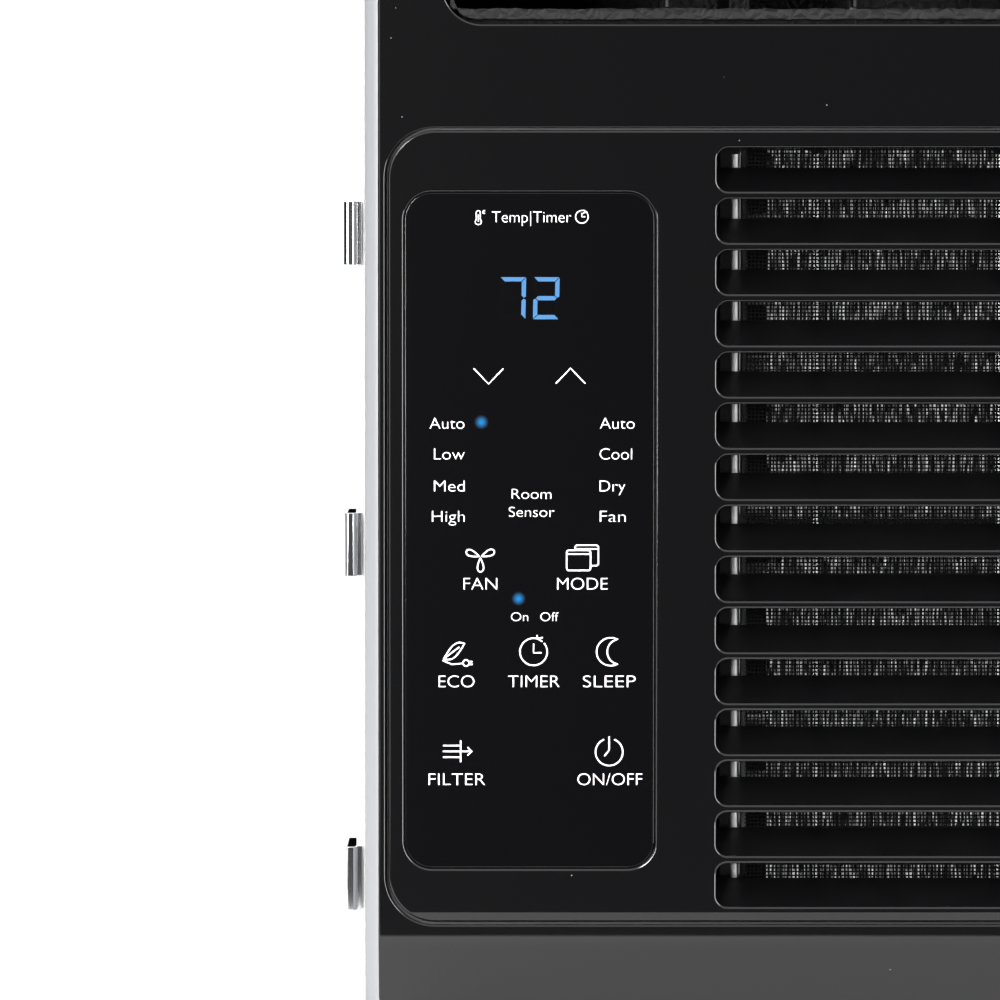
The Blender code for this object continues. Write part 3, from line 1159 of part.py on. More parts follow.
def cord_gland():
    """Bushing where a supply cord leaves the front's right side."""
    y, z = FRONT_Y + GLAND_PLACE[0], GLAND_PLACE[1]
    neck = GLAND_RADIUS - 0.0005
    flange = GLAND_RADIUS + 0.002
    face = HALF_WIDTH + SEAT
    profile = [(GLAND_BORE, HALF_WIDTH - 0.005), (neck, HALF_WIDTH - 0.005), (neck, face),
               (flange, face), (flange, face + 0.002), (GLAND_BORE + 0.002, face + 0.0035),
               (GLAND_BORE, face + 0.0035)]
    return piece("cord_gland", turned(profile, "X", y, z, 20), "rubber")


def side_fittings(side_name, side):
    """Rail on the case's flank for an accordion panel, and the three hooks that hold its edge."""
    face = CASE_X + GAP
    outer = CASE_X + RAIL_PROUD
    y0, y1 = FRONT_Y + RAIL_FRONT, FRONT_Y + RAIL_FRONT + RAIL_DEPTH
    low, high = 0.010, BODY_HEIGHT - CASE_CORNER
    x0, x1 = sorted((side * face, side * outer))
    piece(f"side_rail_{side_name}", box(x0, x1, y0, y1, low, high), "case_grey")
    hook_y = FRONT_Y + HOOK_FRONT
    tip = CASE_X + HOOK_PROUD
    outline = [(CASE_X + 0.0010, hook_y), (tip - 0.0016, hook_y), (tip - 0.0005, hook_y + 0.0005),
               (tip, hook_y + 0.0016), (tip, hook_y + HOOK_DEPTH),
               (outer + GAP, hook_y + HOOK_DEPTH), (outer + GAP, y0 - GAP),
               (CASE_X + 0.0010, y0 - GAP)]
    for place_name, top in HOOK_TOPS.items():
        plan = [(side * x, y) for x, y in outline]
        piece(f"hook_{side_name}_{place_name}", prism(plan, "Z", top - HOOK_HEIGHT, top),
              "bright_steel")


# ---------------------------------------------------------------- assembly
def main():
    for item in list(bpy.data.objects):
        bpy.data.objects.remove(item)
    case_wrap()
    base_pan()
    rear_guard()
    bulkhead()
    front_frame()
    intake_panel()
    control_overlay()
    control_housing()
    air_filter()
    outlet_duct()
    louvres()
    vanes("left", -1)
    vanes("right", 1)
    fan_motor()
    motor_bracket()
    blower_wheel()
    condenser_fan()
    scroll_housing()
    coil("evaporator", SCROLL_X0 + 0.004, SCROLL_X1 - 0.004, COIL_Y0, COIL_Y1, COIL_LOW, COIL_TOP)
    drain_tray()
    condenser_shroud()
    coil("condenser", -CONDENSER_X, CONDENSER_X, CONDENSER_Y0, CONDENSER_Y1,
         CONDENSER_LOW, CONDENSER_TOP)
    compressor()
    pipework(accumulator())
    electrical_box()
    cord_gland()
    side_fittings("left", -1)
    side_fittings("right", 1)


main()
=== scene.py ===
"""Looks of a window air conditioner, built round its CAD frame.

Metres, +Z up; the front faces -Y.  Every visible piece is made here in its own place and rides
on the CAD body it belongs to; the inner pieces keep their CAD shape and get their finish here.
"""

import json
import math
import random
from contextlib import contextmanager
from functools import cache

import bmesh
import bpy
from bpy.props import FloatProperty, FloatVectorProperty, IntProperty, PointerProperty
from mathutils import Matrix, Vector


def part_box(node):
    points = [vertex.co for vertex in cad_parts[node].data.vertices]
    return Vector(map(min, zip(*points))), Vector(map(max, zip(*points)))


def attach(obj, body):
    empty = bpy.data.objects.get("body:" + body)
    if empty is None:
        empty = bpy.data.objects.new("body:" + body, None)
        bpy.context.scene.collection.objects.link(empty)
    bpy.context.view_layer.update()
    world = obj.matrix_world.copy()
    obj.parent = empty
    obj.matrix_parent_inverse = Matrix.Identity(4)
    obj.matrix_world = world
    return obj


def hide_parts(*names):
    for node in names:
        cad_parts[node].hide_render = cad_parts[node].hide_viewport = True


bl_info = {
    "name": "Window air conditioner looks",
    "version": (1, 0, 0),
    "blender": (4, 5, 0),
    "location": "3D View > Sidebar > Air conditioner",
    "description": "Builds the finished surfaces of a window air conditioner round its CAD frame",
    "category": "Object",
}

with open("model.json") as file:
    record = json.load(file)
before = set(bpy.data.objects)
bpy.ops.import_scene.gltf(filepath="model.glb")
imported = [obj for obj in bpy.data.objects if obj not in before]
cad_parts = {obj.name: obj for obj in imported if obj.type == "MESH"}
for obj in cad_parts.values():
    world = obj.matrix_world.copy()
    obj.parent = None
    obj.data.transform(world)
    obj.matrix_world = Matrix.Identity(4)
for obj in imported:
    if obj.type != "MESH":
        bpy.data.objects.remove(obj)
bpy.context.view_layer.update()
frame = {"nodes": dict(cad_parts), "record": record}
MM = 0.001
DUCT_WALL = 12 * MM
PLATE_WALL = 1.8 * MM       # coil end plates
PANEL_CORNER = 14 * MM      # round corner of the intake panel and its opening
SLOT_HEAD = 5.4 * MM        # panel's upper edge to the first slot
SLOT_LEFT = 99.3 * MM       # front's left and right edges to the slots' ends
SLOT_RIGHT = 22.5 * MM
HOOK_WIDTH = 3.9 * MM       # across a hook's bead

FRAME_LOW, FRAME_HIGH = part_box("front_frame")
PANEL_LOW, PANEL_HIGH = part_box("intake_panel")
OVERLAY_LOW, OVERLAY_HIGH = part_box("control_overlay")
CASE_LOW, CASE_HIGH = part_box("case_wrap")
DUCT_LOW, DUCT_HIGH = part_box("outlet_duct")
FILTER_LOW, FILTER_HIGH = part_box("filter_frame")
NET_LOW, NET_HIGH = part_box("filter_mesh")
FRONT_Y = FRAME_LOW.y
MOUTH_Y = CASE_LOW.y
CHIN_TOP = PANEL_LOW.z - 3.4 * MM
BORDER_FOOT, BORDER_TOP = NET_LOW.z - 3.5 * MM, NET_HIGH.z + 3.5 * MM


def linear(hex_colour):
    """sRGB hex to linear RGB."""
    parts = [int(hex_colour[i:i + 2], 16) / 255 for i in (1, 3, 5)]
    return tuple(c / 12.92 if c <= 0.04045 else ((c + 0.055) / 1.055) ** 2.4 for c in parts)


# ---------------------------------------------------------------- settings a user would change
class MouldingSettings(bpy.types.PropertyGroup):
    edge: FloatProperty(name="Edge", description="Round on the front's moulded edges",
                        default=0.6 * MM, unit="LENGTH")
    wall: FloatProperty(name="Wall", description="Wall of the front moulding",
                        default=2.4 * MM, unit="LENGTH")
    chin_slope: FloatProperty(name="Chin slope", description="Run back per rise of the chin",
                              default=1 / 3)
    colour: FloatVectorProperty(name="Plastic", description="Black moulded plastic",
                                subtype="COLOR", default=linear("#080809"))


class GrilleSettings(bpy.types.PropertyGroup):
    slots: IntProperty(name="Slots", description="Slots in the intake panel", default=15, min=1)
    pitch: FloatProperty(name="Pitch", description="From slot to slot",
                         default=15.0 * MM, unit="LENGTH")
    slot_height: FloatProperty(name="Slot height", description="Clear height of a slot",
                               default=12.7 * MM, unit="LENGTH")
    edge: FloatProperty(name="Edge", description="Round on the slots' edges",
                        default=0.7 * MM, unit="LENGTH")


class FilterSettings(bpy.types.PropertyGroup):
    thread: FloatProperty(name="Thread", description="Thickness of a net thread",
                          default=0.47 * MM, unit="LENGTH")
    thread_pitch: FloatProperty(name="Thread pitch", description="From thread to thread",
                                default=1.12 * MM, unit="LENGTH")
    fin_pitch: FloatProperty(name="Fin pitch", description="From coil fin to coil fin",
                             default=1.8 * MM, unit="LENGTH")


class PrintSettings(bpy.types.PropertyGroup):
    ink: FloatVectorProperty(name="Ink", description="Printed words and signs",
                             subtype="COLOR", default=linear("#F2F2F2"))
    lamp: FloatVectorProperty(name="Lamp", description="Lit digits and dots",
                              subtype="COLOR", default=linear("#1F8FDC"))
    stroke: FloatProperty(name="Stroke", description="Width of the printed signs' lines",
                          default=0.42 * MM, unit="LENGTH")


class CaseSettings(bpy.types.PropertyGroup):
    colour: FloatVectorProperty(name="Paint", description="Case paint",
                                subtype="COLOR", default=linear("#939497"))
    vents: IntProperty(name="Vents", description="Slots in each flank", default=10, min=1)
    vent_pitch: FloatProperty(name="Vent pitch", description="From vent to vent",
                              default=14.0 * MM, unit="LENGTH")


GROUPS = {"ac_moulding": MouldingSettings, "ac_grille": GrilleSettings, "ac_filter": FilterSettings,
          "ac_print": PrintSettings, "ac_case": CaseSettings}


# ---------------------------------------------------------------- outlines and meshes
def arc(u, v, radius, start, end, steps):
    """Points round part of a circle, angles in degrees."""
    turns = [math.radians(start + (end - start) * i / steps) for i in range(steps + 1)]
    return [(u + radius * math.cos(t), v + radius * math.sin(t)) for t in turns]


def rounded(u0, u1, v0, v1, radius, steps=12):
    """Rectangle with round corners, anticlockwise."""
    points = arc(u1 - radius, v1 - radius, radius, 0, 90, steps)
    points += arc(u0 + radius, v1 - radius, radius, 90, 180, steps)
    points += arc(u0 + radius, v0 + radius, radius, 180, 270, steps)
    points += arc(u1 - radius, v0 + radius, radius, 270, 360, steps)
    return points


def around(low, high, margin, radius, steps):
    """Round-cornered outline, seen from the front, at a margin round two corners of a box."""
    return rounded(low.x - margin, high.x + margin, low.z - margin, high.z + margin, radius, steps)


def finer(outline, longest):
    """The same closed outline with its long stretches divided."""
    points = []
    for (u0, v0), (u1, v1) in zip(outline, outline[1:] + outline[:1]):
        count = max(1, math.ceil(math.hypot(u1 - u0, v1 - v0) / longest))
        points += [(u0 + (u1 - u0) * i / count, v0 + (v1 - v0) * i / count) for i in range(count)]
    return points


@contextmanager
def edited(mesh):
    """Opens a mesh for editing and writes it back."""
    bm = bmesh.new()
    bm.from_mesh(mesh)
    yield bm
    bm.to_mesh(mesh)
    bm.free()


def mesh_of(vertices, faces):
    """A mesh with its doubles merged and its faces turned outwards."""
    mesh = bpy.data.meshes.new("shape")
    with edited(mesh) as bm:
        made = [bm.verts.new(vertex) for vertex in vertices]
        for face in faces:
            bm.faces.new([made[index] for index in face])
        bmesh.ops.remove_doubles(bm, verts=bm.verts, dist=1e-7)
        bmesh.ops.recalc_face_normals(bm, faces=bm.faces)
    return mesh


def plain_mesh(made):
    """The evaluated mesh of a temporary object, which is then removed."""
    depsgraph = bpy.context.evaluated_depsgraph_get()
    mesh = bpy.data.meshes.new_from_object(made.evaluated_get(depsgraph))
    mesh.transform(made.matrix_world)
    bpy.data.objects.remove(made)
    return mesh


def link(name, data):
    """A new object in the scene."""
    made = bpy.data.objects.new(name, data)
    bpy.context.scene.collection.objects.link(made)
    return made


def plate_mesh(outlines, y0, y1, edge):
    """An upright plate with round edges: the first outline is its rim, the others are holes."""
    curve = bpy.data.curves.new("plate", "CURVE")
    curve.dimensions = "2D"
    curve.fill_mode = "BOTH"
    curve.extrude = (y1 - y0) / 2 - edge
    curve.bevel_depth = edge
    curve.bevel_resolution = 3
    curve.offset = -edge
    for index, outline in enumerate(outlines):
        points = outline if index == 0 else outline[::-1]
        spline = curve.splines.new("POLY")
        spline.points.add(len(points) - 1)
        spline.use_cyclic_u = True
        for point, (u, v) in zip(spline.points, points):
            point.co = (u, v, 0.0, 1.0)
    made = link("plate", curve)
    made.matrix_world = Matrix(((1, 0, 0, 0), (0, 0, -1, (y0 + y1) / 2), (0, 1, 0, 0),
                                (0, 0, 0, 1)))
    bpy.context.view_layer.update()
    mesh = plain_mesh(made)
    with edited(mesh) as bm:
        bmesh.ops.remove_doubles(bm, verts=bm.verts, dist=1e-6)
    return mesh


def prism_mesh(outline, axis, start, end):
    """An outline across an axis, extruded along it."""
    order = {"X": (2, 0, 1), "Y": (0, 2, 1), "Z": (0, 1, 2)}[axis]
    vertices = []
    for along in (start, end):
        for u, v in outline:
            source = (u, v, along)
            vertices.append(tuple(source[k] for k in order))
    count = len(outline)
    faces = [list(range(count)), list(range(count, 2 * count))]
    faces += [[i, (i + 1) % count, count + (i + 1) % count, count + i] for i in range(count)]
    return mesh_of(vertices, faces)


def lathe_mesh(profile, steps):
    """A profile of (radius, height) turned about Z, its two ends on the axis."""
    rings, vertices = [], []
    for radius, height in profile:
        if radius <= 0:
            rings.append([len(vertices)] * steps)
            vertices.append((0, 0, height))
            continue
        rings.append(list(range(len(vertices), len(vertices) + steps)))
        vertices += [(radius * math.cos(2 * math.pi * i / steps),
                      radius * math.sin(2 * math.pi * i / steps), height) for i in range(steps)]
    faces = []
    for ring, following in zip(rings, rings[1:]):
        for i in range(steps):
            j = (i + 1) % steps
            corners = list(dict.fromkeys([ring[i], ring[j], following[j], following[i]]))
            if len(corners) > 2:
                faces.append(corners)
    return mesh_of(vertices, faces)


def without(first, second):
    """The first mesh with the second cut out of it."""
    body, tool = link("body", first), link("tool", second)
    modifier = body.modifiers.new("boolean", "BOOLEAN")
    modifier.operation = "DIFFERENCE"
    modifier.solver = "EXACT"
    modifier.object = tool
    result = plain_mesh(body)
    bpy.data.objects.remove(tool)
    return result


def gathered(meshes):
    """Several meshes as one."""
    bm = bmesh.new()
    for mesh in meshes:
        bm.from_mesh(mesh)
    joined = bpy.data.meshes.new("group")
    bm.to_mesh(joined)
    bm.free()
    return joined


def box_mesh(low, high):
    """A box between two corners."""
    return prism_mesh([(low[0], low[2]), (high[0], low[2]), (high[0], high[2]), (low[0], high[2])],
                      "Y", low[1], high[1])


def settle(made):
    """Bakes an object's modifiers into its mesh."""
    depsgraph = bpy.context.evaluated_depsgraph_get()
    made.data = bpy.data.meshes.new_from_object(made.evaluated_get(depsgraph))
    made.modifiers.clear()


def piece(name, mesh, material, body="unit", replaces=(), bevel=0.0, angle=32,
          flats=False):
    """A finished piece: shaded, given its finish and set on its CAD body."""
    mesh.name = name
    mesh.materials.clear()
    mesh.materials.append(material)
    made = link(name, mesh)
    if bevel:
        modifier = made.modifiers.new("edges", "BEVEL")
        modifier.width = bevel
        modifier.segments = 3
        modifier.limit_method = "ANGLE"
        settle(made)
    made.data.shade_smooth()
    made.data.set_sharp_from_angle(angle=math.radians(angle))
    if flats:
        for face in made.data.polygons:
            face.use_smooth = abs(face.normal.y) < 0.9995
    else:
        modifier = made.modifiers.new("flat faces stay flat", "WEIGHTED_NORMAL")
        modifier.keep_sharp = True
        modifier.weight = 100
        settle(made)
    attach(made, body)
    if replaces:
        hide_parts(*replaces)
    return made


# ---------------------------------------------------------------- node helpers
def feed(tree, node, inputs):
    """Fills or links a node's inputs."""
    for name, value in inputs.items():
        if isinstance(value, bpy.types.NodeSocket):
            tree.links.new(value, node.inputs[name])
        else:
            node.inputs[name].default_value = value


def add(tree, kind, inputs=None, **settings):
    """Adds a node, sets its settings, and fills or links its inputs."""
    node = tree.nodes.new(kind)
    for name, value in settings.items():
        setattr(node, name, value)
    feed(tree, node, inputs or {})
    return node


ROW = {"Count": "NodeSocketInt", "First": "NodeSocketVector", "Step": "NodeSocketVector"}


def geometry_tree(name, sockets):
    """A Geometry Nodes tree with named inputs, its inputs' sockets and its end node."""
    tree = bpy.data.node_groups.new(name, "GeometryNodeTree")
    tree.interface.new_socket("Geometry", in_out="INPUT", socket_type="NodeSocketGeometry")
    for label, kind in {**sockets, "Material": "NodeSocketMaterial"}.items():
        tree.interface.new_socket(label, in_out="INPUT", socket_type=kind)
    tree.interface.new_socket("Geometry", in_out="OUTPUT", socket_type="NodeSocketGeometry")
    return tree, tree.nodes.new("NodeGroupInput").outputs, tree.nodes.new("NodeGroupOutput")


def grow(tree, values, base=None):
    """Runs a tree on a mesh, with its inputs set, and gives back the plain mesh."""
    made = link("grown", base or bpy.data.meshes.new("seed"))
    modifier = made.modifiers.new("grow", "NODES")
    modifier.node_group = tree
    for item in tree.interface.items_tree:
        if item.in_out == "INPUT" and item.name in values:
            modifier[item.identifier] = values[item.name]
    return plain_mesh(made)


def repeat(tree, given, end, shape, points=None):
    """Puts a shape on each point, or on a row of points, and ends the tree."""
    if points is None:
        points = add(tree, "GeometryNodeMeshLine", {
            "Count": given["Count"], "Start Location": given["First"],
            "Offset": given["Step"]}).outputs["Mesh"]
    placed = add(tree, "GeometryNodeInstanceOnPoints", {"Points": points, "Instance": shape})
    if "Turn" in given:
        feed(tree, placed, {"Rotation": given["Turn"]})
    real = add(tree, "GeometryNodeRealizeInstances", {"Geometry": placed.outputs["Instances"]})
    painted = add(tree, "GeometryNodeSetMaterial",
                  {"Geometry": real.outputs["Geometry"], "Material": given["Material"]})
    feed(tree, end, {"Geometry": painted.outputs["Geometry"]})
    return tree


def bars_tree():
    """Equal square bars in a row: coil fins."""
    tree, given, end = geometry_tree("bars in a row", {**ROW, "Bar": "NodeSocketVector"})
    bar = add(tree, "GeometryNodeMeshCube", {"Size": given["Bar"]})
    return repeat(tree, given, end, bar.outputs["Mesh"])


def threads_tree():
    """Threads side by side, each a six-sided rod."""
    tree, given, end = geometry_tree("threads in a row", {
        **ROW, "Length": "NodeSocketFloat", "Radius": "NodeSocketFloat",
        "Turn": "NodeSocketRotation"})
    thread = add(tree, "GeometryNodeMeshCylinder", {
        "Vertices": 6, "Radius": given["Radius"], "Depth": given["Length"]})
    return repeat(tree, given, end, thread.outputs["Mesh"])


def blades_tree():
    """Sloping grille blades: a rounded section run along X and repeated downwards."""
    tree, given, end = geometry_tree("grille blades", {
        **ROW, "Length": "NodeSocketFloat", "Depth": "NodeSocketFloat",
        "Wall": "NodeSocketFloat", "Slope": "NodeSocketFloat"})
    section = add(tree, "GeometryNodeCurvePrimitiveQuadrilateral", {
        "Width": given["Depth"], "Height": given["Wall"]})
    edge = add(tree, "ShaderNodeMath", {0: given["Wall"], 1: 0.45}, operation="MULTIPLY")
    soft = add(tree, "GeometryNodeFilletCurve", {
        "Curve": section.outputs["Curve"], "Radius": edge.outputs["Value"], "Count": 4},
        mode="POLY")
    far = add(tree, "ShaderNodeCombineXYZ", {"X": given["Length"]})
    path = add(tree, "GeometryNodeCurvePrimitiveLine", {"End": far.outputs["Vector"]})
    swept = add(tree, "GeometryNodeCurveToMesh", {
        "Curve": path.outputs["Curve"], "Profile Curve": soft.outputs["Curve"], "Fill Caps": True})
    tilt = add(tree, "ShaderNodeCombineXYZ", {"X": given["Slope"]})
    turned = add(tree, "GeometryNodeTransform", {
        "Geometry": swept.outputs["Mesh"], "Rotation": tilt.outputs["Vector"]})
    return repeat(tree, given, end, turned.outputs["Geometry"])


def screws_tree():
    """Pan-head screws with a cross recess, one on each point of the mesh it is given."""
    tree, given, end = geometry_tree("screws", {
        "Radius": "NodeSocketFloat", "Turn": "NodeSocketRotation"})
    ball = add(tree, "GeometryNodeMeshUVSphere", {
        "Segments": 24, "Rings": 12, "Radius": given["Radius"]})
    flat = add(tree, "GeometryNodeTransform", {
        "Geometry": ball.outputs["Mesh"], "Scale": (1.0, 1.0, 0.55)})
    width, length = [add(tree, "ShaderNodeMath", {0: given["Radius"], 1: share},
                         operation="MULTIPLY").outputs["Value"] for share in (0.24, 1.15)]
    deep = add(tree, "ShaderNodeCombineXYZ", {"Z": given["Radius"]})
    cross = add(tree, "GeometryNodeJoinGeometry")
    for across, along in ((length, width), (width, length)):
        size = add(tree, "ShaderNodeCombineXYZ", {"X": across, "Y": along, "Z": length})
        bar = add(tree, "GeometryNodeMeshCube", {"Size": size.outputs["Vector"]})
        moved = add(tree, "GeometryNodeTransform", {
            "Geometry": bar.outputs["Mesh"], "Translation": deep.outputs["Vector"]})
        feed(tree, cross, {"Geometry": moved.outputs["Geometry"]})
    head = add(tree, "GeometryNodeMeshBoolean", {
        "Mesh 1": flat.outputs["Geometry"], "Mesh 2": cross.outputs["Geometry"]},
        operation="DIFFERENCE")
    return repeat(tree, given, end, head.outputs["Mesh"], given["Geometry"])


# ---------------------------------------------------------------- finishes
def begin(name, colour, roughness, metallic=0.0, more=None):
    """A material, its tree, its shader and the object's own coordinates in metres."""
    material = bpy.data.materials.new(name)
    material.use_nodes = True
    tree = material.node_tree
    shader = tree.nodes["Principled BSDF"]
    feed(tree, shader, {"Base Color": (*colour, 1.0), "Roughness": roughness,
                        "Metallic": metallic, **(more or {})})
    where = add(tree, "ShaderNodeTexCoord").outputs["Object"]
    return material, tree, shader, where


def patterned(name, colour, roughness, metallic=0.0, size=1.0, detail=2.0, stretch=None,
              within=None, mix=None, rough=None, relief=None, glow=None, more=None):
    """A finish with one noise pattern, of a size in millimetres.

    The part of the pattern within two levels runs the colour between two hex colours, the
    roughness or the glow between two values, and raises a relief of (strength, millimetres).
    """
    material, tree, shader, where = begin(name, colour, roughness, metallic, more)
    if stretch:
        where = add(tree, "ShaderNodeMapping",
                    {"Vector": where, "Scale": stretch}).outputs["Vector"]
    pattern = add(tree, "ShaderNodeTexNoise", {
        "Vector": where, "Scale": 1 / (size * MM), "Detail": detail}).outputs["Fac"]
    if within:
        pattern = add(tree, "ShaderNodeMapRange", {
            "Value": pattern, "From Min": within[0], "From Max": within[1]}).outputs["Result"]
    if mix:
        tint = add(tree, "ShaderNodeMix", {"Factor": pattern, "A": (*linear(mix[0]), 1.0),
                                           "B": (*linear(mix[1]), 1.0)}, data_type="RGBA")
        feed(tree, shader, {"Base Color": tint.outputs["Result"]})
    for socket, ends in (("Roughness", rough), ("Emission Strength", glow)):
        if ends:
            level = add(tree, "ShaderNodeMapRange", {"Value": pattern, "To Min": ends[0],
                                                     "To Max": ends[1]})
            feed(tree, shader, {socket: level.outputs["Result"]})
    if relief:
        bump = add(tree, "ShaderNodeBump", {"Height": pattern, "Strength": relief[0],
                                            "Distance": relief[1] * MM})
        feed(tree, shader, {"Normal": bump.outputs["Normal"]})
    return material


@cache
def polished_abs():
    """High-gloss black ABS, moulded in a polished tool: a deep mirror with long soft waves."""
    colour = tuple(bpy.context.scene.ac_moulding.colour)
    material = patterned("polished black ABS", colour, 0.09, size=55, relief=(0.25, 0.25),
                         more={"IOR": 1.54})
    # dust: sparse grains under half a millimetre, drawn a little coarser than real
    tree = material.node_tree
    where = add(tree, "ShaderNodeTexCoord").outputs["Object"]
    grains = add(tree, "ShaderNodeTexVoronoi", {"Vector": where, "Scale": 1 / (6 * MM)})
    grain = add(tree, "ShaderNodeMath", {0: grains.outputs["Distance"], 1: 0.035},
                operation="LESS_THAN")
    patches = add(tree, "ShaderNodeTexNoise", {"Vector": where, "Scale": 1 / (30 * MM)})
    some = add(tree, "ShaderNodeMath", {0: patches.outputs["Fac"], 1: 0.56},
               operation="GREATER_THAN")
    dust = add(tree, "ShaderNodeMath", {0: grain.outputs["Value"], 1: some.outputs["Value"]},
               operation="MULTIPLY")
    tint = add(tree, "ShaderNodeMix", {"Factor": dust.outputs["Value"], "A": (*colour, 1.0),
                                       "B": (*linear("#6E6E6C"), 1.0)}, data_type="RGBA")
    feed(tree, tree.nodes["Principled BSDF"], {"Base Color": tint.outputs["Result"]})
    return material


@cache
def printed_film():
    """Clear-coated polycarbonate film, printed black behind: flatter and darker than the front."""
    return patterned("printed black film", linear("#040405"), 0.08, size=60, detail=1.0,
                     relief=(0.12, 0.2), more={"IOR": 1.58})


@cache
def powder_coat():
    """Light grey powder-coated steel: satin with a fine orange peel of about 1.5 mm."""
    return patterned("light grey powder coat", tuple(bpy.context.scene.ac_case.colour), 0.38,
                     size=1.5, relief=(0.2, 0.05))


@cache
def rail_enamel():
    """White baked enamel on the side rails: semi-gloss, flowing to a faint waviness."""
    return patterned("white rail enamel", linear("#F0F0EE"), 0.3, size=12, detail=1.0,
                     relief=(0.15, 0.05))


@cache
def bright_zinc():
    """Bright zinc-plated spring steel: a near mirror with faint drawing lines up its height."""
    return patterned("bright zinc plate", linear("#E4E5E7"), 0.12, 1.0, size=0.35,
                     stretch=(1.0, 1.0, 0.02), rough=(0.04, 0.11))


@cache
def galvanised_sheet():
    """Hot-dip galvanised sheet: grey metal with crystal patches some 8 mm across."""
    material, tree, shader, where = begin("galvanised sheet", linear("#B4B7B9"), 0.4, 0.95)
    flakes = add(tree, "ShaderNodeTexVoronoi", {"Vector": where, "Scale": 1 / (8 * MM)})
    grey = add(tree, "ShaderNodeRGBToBW", {"Color": flakes.outputs["Color"]}).outputs["Val"]
    rough = add(tree, "ShaderNodeMapRange", {"Value": grey, "To Min": 0.28, "To Max": 0.52})
    tint = add(tree, "ShaderNodeMix", {"Factor": grey, "A": (*linear("#A3A6A9"), 1.0),
                                       "B": (*linear("#C4C7C9"), 1.0)}, data_type="RGBA")
    feed(tree, shader, {"Roughness": rough.outputs["Result"], "Base Color": tint.outputs["Result"]})
    return material


@cache
def mill_aluminium():
    """Bare aluminium fin stock: bright, rolled, slightly streaked."""
    return patterned("mill aluminium", linear("#E6E8EA"), 0.26, 1.0, size=0.8,
                     stretch=(1.0, 1.0, 0.05), rough=(0.18, 0.36))


@cache
def fin_painted_glints():
    """Aluminium fin edges behind the net: mostly near-black as painted shade, with short bright
    streaks as painted glints that also glow.
    """
    # painted light: the noise runs the fins from near-black painted shade to white painted glints,
    # and the glints glow white though no lamp is there
    return patterned("fin edges with painted glints", linear("#D8DADC"), 0.3, size=1.3, detail=1.0,
                     stretch=(1.0, 0.2, 0.22), within=(0.55, 0.63), mix=("#040404", "#F0F0F0"),
                     glow=(0.0, 0.4), more={"Emission Color": (1.0, 1.0, 1.0, 1.0)})


@cache
def drawn_copper():
    """Drawn copper tube, dulled unevenly by brazing heat."""
    return patterned("drawn copper", linear("#C98A63"), 0.3, 1.0, size=14, detail=4.0,
                     mix=("#A8623C", "#DCA27C"), rough=(0.2, 0.45))


def coil_end(node):
    """Coil end: a galvanised plate with bare copper bends outside it."""
    low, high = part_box(node)
    left = low.x + high.x < 0 if node.startswith("condenser") else "left" in node
    plate = high.x - PLATE_WALL if left else low.x + PLATE_WALL
    material, tree, shader, where = begin(f"plate and bends of {node}", linear("#B4B7B9"),
                                          0.35, 1.0)
    across = add(tree, "ShaderNodeSeparateXYZ", {"Vector": where}).outputs["X"]
    side = add(tree, "ShaderNodeMath", {0: across, 1: plate},
               operation="LESS_THAN" if left else "GREATER_THAN")
    tint = add(tree, "ShaderNodeMix", {"Factor": side.outputs["Value"],
                                       "A": (*linear("#9A9DA0"), 1.0),
                                       "B": (*linear("#C98A63"), 1.0)}, data_type="RGBA")
    feed(tree, shader, {"Base Color": tint.outputs["Result"]})
    return material


@cache
def satin_polypropylene():
    """Black polypropylene with a fine spark-eroded grain of about 0.6 mm."""
    return patterned("black grained polypropylene", linear("#1B1B1D"), 0.42, size=0.6,
                     relief=(0.3, 0.04))


@cache
def gloss_polypropylene():
    """Black filter border, glossy from the tool with a light haze."""
    return patterned("black polished polypropylene", linear("#161618"), 0.14, size=9,
                     rough=(0.1, 0.22))


@cache
def bead_painted_highlight():
    """Polypropylene bead along the filter's border and ribs, glossy from the tool; its light grey
    is a painted highlight standing for the shine on the black border's rounded edges.
    """
    # painted highlight: the light grey stands for the shine on the black border's rounded edges
    return patterned("bead painted as highlight", linear("#BDBDBD"), 0.25, size=9,
                     mix=("#A9A9A9", "#D6D6D6"))


@cache
def blade_shade_black():
    """Blades behind the face: the same black plastic, coloured darker as painted shade, and less
    polished.
    """
    return patterned("black blade plastic in painted shade", linear("#050506"), 0.3, size=12, rough=(0.25, 0.4))


@cache
def nylon_net():
    """Black nylon monofilament net: matt, hardly catching the light."""
    return patterned("black nylon thread", linear("#060606"), 0.8, size=4,
                     mix=("#040404", "#0A0A0A"), more={"Specular IOR Level": 0.1})


def beaded(material, size, strength, depth):
    """Adds a relief of closed cells, all in millimetres."""
    tree = material.node_tree
    cells = add(tree, "ShaderNodeTexVoronoi", {
        "Vector": add(tree, "ShaderNodeTexCoord").outputs["Object"], "Scale": 1 / (size * MM)},
        feature="DISTANCE_TO_EDGE").outputs["Distance"]
    bump = add(tree, "ShaderNodeBump", {"Height": cells, "Strength": strength,
                                        "Distance": depth * MM})
    feed(tree, tree.nodes["Principled BSDF"], {"Normal": bump.outputs["Normal"]})


@cache
def dark_foam_and_shade():
    """Bead foam brushed with dark grey sealer: closed cells of 3 mm, cracked and blotchy; also laid
    as painted shade on inner parts behind the duct.
    """
    material = patterned("sealed bead foam", linear("#101010"), 0.6, size=8, detail=6.0,
                         within=(0.38, 0.68), mix=("#020202", "#0D0D0D"),
                         more={"Specular IOR Level": 0.25})
    beaded(material, 3.2, 1.0, 0.8)
    return material


@cache
def black_enamel():
    """Baked black enamel on a steel shell: glossy with a light orange peel."""
    return patterned("black enamel", linear("#17171A"), 0.28, size=2.5, relief=(0.3, 0.08))


